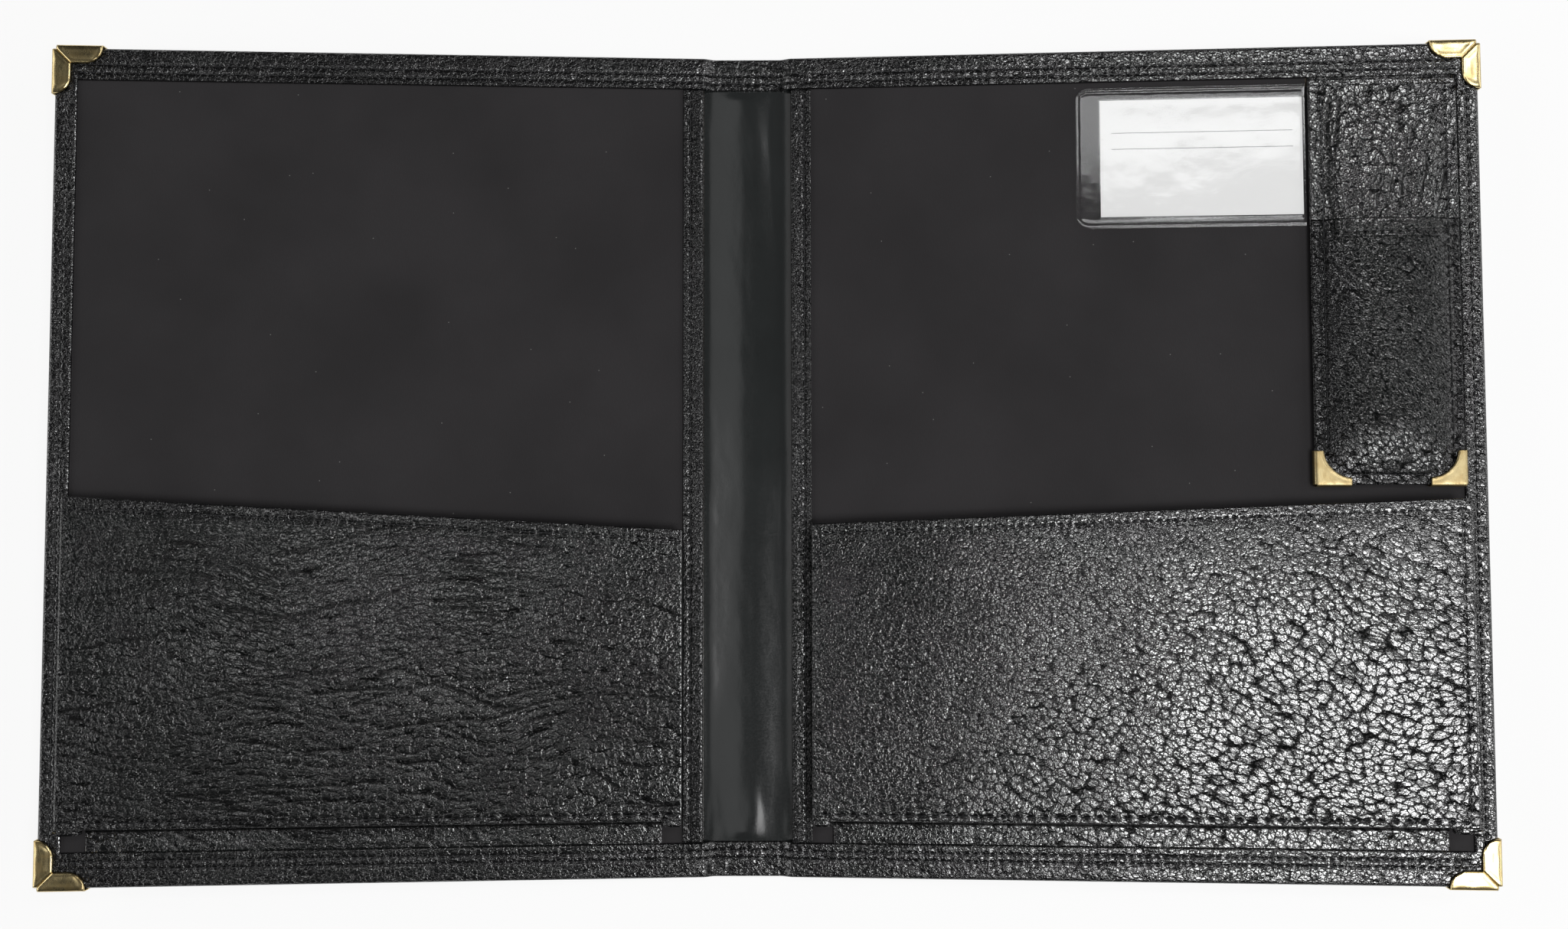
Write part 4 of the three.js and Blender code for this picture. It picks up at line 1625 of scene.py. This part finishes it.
    def roof(self, u: Array, v: Array) -> Array:
        """Height of the pouch over its flat rim, before relief."""
        side = nearest(u - self.start, self.stop - u) - self.rim
        foot = v - self.foot - self.rim
        rise = 1.0
        for into, width in ((side, 27.0), (foot, 24.0)):
            rise = rise * (1.0 - (1.0 - np.clip(into / width, 0.0, 1.0)) ** 2)
        lift = 0.4 * ease(nearest(side, foot) / 2.5) * ease((side + foot - 9.0) / 6.0)
        return self.face_n + lift + (self.crown - self.face_n - 0.35) * rise

    def pouch(self, palette: Palette) -> Piece:
        """The crowned pouch, sewn down on three sides and open at its mouth."""
        u, v, side = self.area(self.foot, self.mouth, FLAP_STEP, (7, 0))
        edge = nearest(side, v - self.foot)
        bump, crease = self.hide(u, v)
        pucker = 0.35 * drift(u / 2.6, v / 12.0, 741) * bell(v - self.foot - 9.0, 5.0)
        wave = 0.30 * drift(u / 14.0, v / 22.0, 742)
        n = self.roof(u, v) + (bump + pucker) * ease(edge / 1.2) + wave * ease((edge - 4.0) / 6.0)
        n, crease = self.sewn(u, v, n, crease * ease(edge / 0.8))
        board = self.face_n - 0.5 + 0.7 * ease((edge - 3.8) / 0.8)
        n = np.clip(n, board, self.crown + 0.25) - dropped(edge, 0.5)
        return self.lay(("pouch", "pencil_pouch"), (u, v, n), crease, (palette.flap, self.grain))

    def band(self, palette: Palette) -> Piece:
        """The turned hem at the pouch's mouth."""
        left, right, low, high = 233.2, 276.5, 271.7, self.mouth
        u, v = grid(lines(left, right, 0.5), lines(low, high, 0.45, rims(low, high, 5, 5)))
        bump, crease = self.band_grain.relief(self.cover.out(u), v)
        edge, ends = nearest(v - low, high - v), nearest(u - left, right - u)
        n = self.roof(u, v) + 0.7 + 0.25 * drift(u / 9.0, v / 9.0, 752) * ease(ends / 3.0)
        n = n - dropped(edge, 0.4) - dropped(ends, 0.4)
        n = n + 0.9 * bump * ease(edge / 1.0) + 0.30 * bell(high - v - 0.7, 0.6)
        dip, dark = self.stitching.relief(u, v - low - 1.9)
        crease = np.maximum(crease * ease(edge), dark)
        names, points, finish = ("mouth_hem", "pouch_mouth_band"), (u, v, n + 0.6 * dip), (palette.strip, None)
        return self.lay(names, points, crease, finish, 0.35, self.band_leather)

    def hinge(self, palette: Palette) -> Piece:
        """The leather that carries the flap, from under the top hem to the flap's back."""
        shell, gap = Shell(Side.RIGHT), 0.6
        u, v = grid(lines(self.start + gap, self.stop - gap, 1.5), lines(336.4, 351.6, 0.4))
        n = mix(4.42, 3.6, ease((v - 337.5) / 6.5)) + 0.05 * drift(u / 4.0, v / 5.0, 761)
        shell.patch(self.cover.place(u, v, n))
        piece = shell.make("flap_hinge", palette.hide)
        thicken(piece, self.hinge_leather, 0.0)
        start, end = (tuple(float(x) * MM for x in self.cover.place(255.0, at, 4.0)) for at in (342.6, 339.4))
        bodies, flat = ("right_cover", "pencil_flap", start, end), (self.stop - self.start - 2 * gap, 15.3)
        return settle(piece, bodies, ["flap_hinge_strip"], rests_on=["right_skin"])

    def corners(self, palette: Palette) -> list[Piece]:
        """The two metal corners on the flap's free end."""
        sizes = {"leg": 14.4, "tip": 0.05, "slit": 0.0, "top": 7.05, "low": 4.15, "hollow": 15.5, "out": 0.5}
        kinds = (
            ("inner", lambda p, q, n: self.cover.place(self.start + p, self.foot + q, n), False),
            ("outer", lambda p, q, n: self.cover.place(self.stop - p, self.foot + q, n), True),
        )
        return [
            MetalCorner(
                f"flap_{end}_metal", f"flap_{end}_corner", "pencil_flap", place, Side.RIGHT, swapped, **sizes
            ).make(palette.pale_brass)
            for end, place, swapped in kinds
        ]

    def make(self, palette: Palette) -> list[Piece]:
        """Build the whole flap."""
        dress("flap_stiffener", palette.board)
        parts = [build(palette) for build in (self.back, self.upper_face, self.pouch, self.band, self.hinge)]
        return [*parts, *self.corners(palette)]


# ---------------------------------------------------------------- name sleeve


@dataclass
class NameSleeve:
    """The clear sleeve on the right cover, with welded rims, and its card."""

    cover: Cover = RIGHT
    left: float = 126.1
    front_left: float = 135.9
    right: float = 223.4
    foot: float = 278.1
    top: float = 339.6
    corner: float = 6.0

    def film(self, name: str, start: float, palette: Palette, front: bool) -> Piece:
        """One sheet of film, its left corners rounded where it is the back sheet.

        Args:
            name: name of the piece.
            start: its left edge.
            palette: the materials.
            front: True for the front sheet, which is lifted over the card.

        Returns:
            The sheet.
        """
        shell, tall = Shell(Side.RIGHT), self.top - self.foot
        v_lines = lines(self.foot, self.top, 1.0, rims(self.foot, self.top, at=WELD_LINES))
        u_lines = lines(start, self.right, 1.0, rims(start, self.right, 7, 4, WELD_LINES))
        u, f = grid(u_lines, (v_lines - self.foot) / tall)
        past = np.clip(1.0 - (u - start) / self.corner, 0.0, 1.0) * (not front)
        cut = self.corner * (1.0 - np.sqrt(1.0 - past**2))
        v = mix(self.foot + cut, self.top - cut, f)
        rim = nearest(v - self.foot - cut, self.top - cut - v)
        rim = rim if front else nearest(rim, u - start)
        rim = nearest(rim, (self.right - u) * 2.4)
        ridges = 0.20 * bell(rim - 0.45, 0.32) + 0.20 * bell(rim - 2.3, 0.38)
        if front:
            lifted = ease((rim - 2.4) / 2.2)
            n = mix(4.62, 5.22, lifted) + 0.10 * drift(u / 22.0, v / 16.0, 801) * lifted
            n = n + 0.16 * bell(self.top - v - 7.0, 5.0) * lifted
        else:
            n = np.full(u.shape, 4.27)
        shell.patch(self.cover.place(u, v, n + ridges * (1.0 if front else 0.5)))
        piece = shell.make(name, palette.film, 60.0)
        node, under = ("sleeve_front", "name_card") if front else ("sleeve_back", "right_lining")
        return settle(piece, "right_cover", [node], [under])

    def make(self, palette: Palette) -> list[Piece]:
        """Build both films and dress the card."""
        x0, x1 = (float(self.cover.place(u, 300.0, 4.8)[0]) for u in (141.5, 218.0))
        rules = tuple((v - HEIGHT / 2.0, x0, x1) for v in (319.4, 312.4))
        dress("name_card", CardFinish(rules=rules).material())
        return [
            self.film("sleeve_rear_film", self.left, palette, False),
            self.film("sleeve_face_film", self.front_left, palette, True),
        ]


# ---------------------------------------------------------------- thread


@dataclass
class ThreadRows:
    """Rows of stitches, each a short raised thread between two holes.

    Args:
        side: side of the folder, for the mirror.
        place: from two distances and a height to points.
        radius: radius of the thread.
    """

    side: Side
    place: Place
    radius: float = 0.19
    shell: Shell = field(init=False)

    def __post_init__(self) -> None:
        """Start an empty shell."""
        self.shell = Shell(self.side)

    def row(self, start: Pair, stop: Pair, pitch: float, height: Callable[[Array, Array], Number]) -> None:
        """Add one straight row of stitches.

        Args:
            start: first point of the row.
            stop: last point of the row, farther along both axes or level with the first.
            pitch: length of a stitch.
            height: from a point to the height of the thread's middle.
        """
        begin, way = np.array(start), np.array(stop) - np.array(start)
        way = way / float(np.hypot(*way))
        side_way = np.array([-way[1], way[0]])
        t = np.array([0.0, 0.14, 0.5, 0.86, 1.0])
        size = self.radius * np.array([0.25, 1.0, 1.0, 1.0, 0.25])
        lift = np.array([-0.22, 0.02, 0.14, 0.02, -0.22])
        turns = np.linspace(0.0, 2.0 * math.pi, 6)
        axis = int(abs(way[1]) > 0.7)
        first = math.ceil((begin[axis] - pitch / 2.0) / pitch) * pitch + pitch / 2.0
        for at in np.arange(first, stop[axis] - pitch, pitch):
            along = (at - begin[axis]) / way[axis] + 0.3 + t * (pitch - 0.6)
            p, q = (
                begin[k] + way[k] * along[:, None] + side_way[k] * size[:, None] * np.sin(turns) for k in (0, 1)
            )
            middle = height(begin[0] + way[0] * along, begin[1] + way[1] * along)
            self.shell.patch(self.place(p, q, (middle + lift)[:, None] + size[:, None] * np.cos(turns)))

    def make(self, name: str, palette: Palette, body: str | tuple[str, str, Point, Point]) -> Piece:
        """Make the thread of every row as one piece."""
        return settle(self.shell.make(name, palette.thread, 60.0), body)


def hem_thread(skin: CoverSkin, strip: SpineStrip, palette: Palette) -> Piece:
    """The thread of one cover's hems and strip."""
    c, margin = skin.cover, 16.0
    rows = ThreadRows(c.side, c.unrolled)
    for line, level in skin.rows():
        ends = ((0.3, line), (c.width - skin.row_end, line)) if level else ((line, margin), (line, HEIGHT - margin))
        rows.row(*ends, skin.stitching.pitch, lambda a, v: skin.crest(a) - 0.20)
    at = SPINE_HALF + strip.row
    rows.row((at, strip.foot + 1.0), (at, strip.top - 1.0), strip.stitching.pitch, lambda a, v: HEM_TOP - 0.12)
    return rows.make(c.named("hem_thread"), palette, c.fold)


def panel_thread(panel: PocketPanel, palette: Palette) -> Piece:
    """The thread of one pocket panel's top and foot, and of the right panel's outer side."""
    c, pitch = panel.cover, panel.top_sewn.pitch
    rows = ThreadRows(c.side, c.place)
    u0, u1, side_u = STRIP_END + 2.2, c.panel_end - 2.2, c.panel_end - panel.side_row
    tops = [float(c.panel_top(u)) - panel.top_row for u in (u0, u1)]
    foot = PANEL_FOOT + panel.foot_row
    runs = [((u0, tops[0]), (u1, tops[1]), pitch), ((u0, foot), (u1, foot), panel.foot_sewn.pitch)]
    if c.side is Side.RIGHT:
        runs.append(((side_u, PANEL_FOOT + 5.0), (side_u, float(c.panel_top(side_u)) - 7.0), pitch))
    for run in runs:
        rows.row(*run, lambda u, v: PANEL_TOP - 0.14)
    return rows.make(c.named("pocket_thread"), palette, c.named("pocket"))


def flap_thread(flap: PencilFlap, palette: Palette) -> Piece:
    """The thread round the flap and along the pouch's mouth hem."""
    rows, low = ThreadRows(Side.RIGHT, flap.cover.place), flap.foot + flap.foot_row
    sides = (flap.start + flap.side_row, flap.stop - flap.side_row)
    runs = [((u, low + 11.0), (u, flap.face_top - 2.0)) for u in sides]
    runs.append(((flap.start + 16.0, low), (flap.stop - 16.0, low)))
    for run in runs:
        rows.row(*run, flap.stitching.pitch, lambda u, v: flap.roof(u, v) - 0.12)
    rows.row((234.5, 273.6), (275.5, 273.6), flap.stitching.pitch, lambda u, v: 13.15)
    return rows.make("flap_thread", palette, "pencil_flap")


# ---------------------------------------------------------------- studio


@dataclass(frozen=True)
class Lamp:
    """A soft box seen from the folder.

    Args:
        name: name of the lamp.
        lean: its direction from straight up, in degrees along x and y.
        spread: its size seen from the folder, in degrees along x and y.
        glow: brightness of its face.
        distance: how far it is, in metres.
    """

    name: str
    lean: Pair
    spread: Pair
    glow: float
    distance: float = 2.4

    def make(self) -> None:
        """Make the lamp, facing the middle of the folder."""
        data = bpy.data.lights.new(self.name, "AREA")
        data.shape = "RECTANGLE"
        way = Vector((*(math.tan(math.radians(t)) for t in self.lean), 1.0)).normalized()
        data.size, data.size_y = (2.0 * self.distance * math.tan(math.radians(s / 2.0)) for s in self.spread)
        data.energy = self.glow * math.pi * data.size * data.size_y
        lamp = bpy.data.objects.new(self.name, data)
        lamp.location = way * self.distance
        across = Vector((0.0, 1.0, 0.0)).cross(way).normalized()
        lamp.rotation_euler = Matrix((across, way.cross(across), way)).transposed().to_euler()
        lamp.visible_camera = False
        bpy.context.scene.collection.objects.link(lamp)


@dataclass(frozen=True)
class ViewPoint:
    """The camera.

    Args:
        turns: turns of the world before the camera, in radians about x, y and z.
        shift: shift of the turned world, in millimetres.
        distance: from the camera to the middle of the folder, in millimetres.
        focal: focal length in pixels of an image as wide as image_width.
        image_width: width of the image in pixels.
        sensor: width of the sensor, in millimetres.
    """

    turns: Point = (-0.0414765, -0.0028997, 0.0023734)
    shift: Pair = (-15.8308, 0.8703)
    distance: float = 518.041
    focal: float = 1546.67
    image_width: float = 2048.0
    sensor: float = 36.0

    def make(self) -> None:
        """Make the camera and use it."""
        rx, ry, rz = (Matrix.Rotation(t, 3, axis) for t, axis in zip(self.turns, "XYZ"))
        turned = (rz @ ry @ rx).transposed()
        data = bpy.data.cameras.new("camera")
        data.sensor_width, data.lens = self.sensor, self.sensor * self.focal / self.image_width
        data.clip_start, data.clip_end = 0.01, 50.0
        camera = bpy.data.objects.new("camera", data)
        away = turned @ Vector((*self.shift, -self.distance))
        camera.matrix_world = Matrix.Translation(-away * MM) @ turned.to_4x4()
        bpy.context.scene.collection.objects.link(camera)
        bpy.context.scene.camera = camera


@dataclass(frozen=True)
class Studio:
    """Pale floor, backdrop, plain world and soft boxes."""

    floor_size: float = 9.0
    floor_drop: float = -0.0008
    floor_sides: int = 48
    paleness: float = 0.85
    world: float = 0.02
    lamps: tuple[Lamp, ...] = (
        Lamp("left_box", (-16.5, -3.5), (16.0, 15.0), 1.1),
        Lamp("right_core", (25.0, -15.0), (20.0, 16.0), 9.0),
        Lamp("right_soft", (21.0, -14.0), (30.0, 27.0), 2.4, 2.6),
        Lamp("rear_box", (23.0, 24.5), (25.0, 9.0), 6.5),
        Lamp("liner_sheet", (-8.0, 2.0), (9.0, 50.0), 0.30),
        Lamp("left_sheet", (-24.0, 2.0), (12.0, 50.0), 0.1, 2.6),
        Lamp("left_fill", (-64.0, 0.0), (24.0, 60.0), 2.0),
        Lamp("right_fill", (64.0, 0.0), (24.0, 60.0), 2.0),
    )

    def backdrop(self) -> Material:
        """A pale matt material whose white is its own to the camera, with the shadow kept."""
        n = Nodes("pale_backdrop")
        n.set(Base_Color=(0.97, 0.97, 0.97), Roughness=0.9, Specular_IOR_Level=0.1)
        rays = n.add("LightPath").outputs
        seen = n.most(n.most(rays["Is Camera Ray"], rays["Is Glossy Ray"]), rays["Is Transmission Ray"])
        n.over(n.times(seen, self.paleness), n.shader.outputs[0], n.add("Emission").outputs[0])
        return n.material

    def ground(self, material: Material) -> None:
        """The round floor."""
        half, sides = self.floor_size / 2.0, self.floor_sides
        angles = [2.0 * math.pi * k / sides for k in range(sides)]
        mesh = bpy.data.meshes.new("floor")
        points = [(half * math.cos(a), half * math.sin(a), self.floor_drop) for a in angles]
        mesh.from_pydata(points, [], [tuple(range(sides))])
        mesh.materials.append(material)
        floor = bpy.data.objects.new("floor", mesh)
        bpy.context.scene.collection.objects.link(floor)

    def sky(self) -> bpy.types.World:
        """A dim plain world that the camera sees as white."""
        world = bpy.data.worlds.new("plain")
        world.use_nodes = True
        tree = world.node_tree
        seen = tree.nodes.new("ShaderNodeLightPath").outputs["Is Camera Ray"]
        share, background = tree.nodes.new("ShaderNodeMapRange"), tree.nodes["Background"]
        tree.links.new(seen, share.inputs["Value"])
        share.inputs["To Min"].default_value, share.inputs["To Max"].default_value = self.world, 1.0
        background.inputs["Color"].default_value = (1.0, 1.0, 1.0, 1.0)
        tree.links.new(share.outputs[0], background.inputs["Strength"])
        return world

    def make(self) -> None:
        """Set up the studio."""
        scene = bpy.context.scene
        scene.view_settings.view_transform = "Standard"
        scene.world = self.sky()
        self.ground(self.backdrop())
        for lamp in self.lamps:
            lamp.make()
        ViewPoint().make()


# ---------------------------------------------------------------- all of it


def main() -> None:
    """Build every sub-assembly in order and report it."""
    logging.basicConfig(level=logging.INFO, format="%(message)s")
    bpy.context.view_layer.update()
    Studio().make()
    palette = Palette()
    built: list[Piece] = []
    hems = {Side.LEFT: Grain(4.0, 0.04, 0.14, 5.0, 201), Side.RIGHT: Grain(-18.0, 0.04, 0.16, 5.0, 231)}
    hides = {Side.LEFT: Grain(-5.0, 0.03, 0.24, 7.0, 101), Side.RIGHT: Grain(-24.0, 0.03, 0.19, 7.5, 141)}
    for cover in (LEFT, RIGHT):
        skin, strip = CoverSkin(cover, hems[cover.side]), SpineStrip(cover)
        panel = PocketPanel(cover, hides[cover.side])
        built += [part.make(palette) for part in (skin, SpineLiner(cover), strip, panel)]
        built += PocketGussets(cover).make(palette) + cover_corners(cover, palette)
        built += [hem_thread(skin, strip, palette), panel_thread(panel, palette)]
        dress(cover.named("cover_board"), palette.board)
        dress(cover.named("lining"), palette.lining)
    flap = PencilFlap()
    built += [*flap.make(palette), flap_thread(flap, palette), *NameSleeve().make(palette)]
    for piece in built:
        LOG.info("built %s", piece.name)


if __name__ == "__main__":
    main()
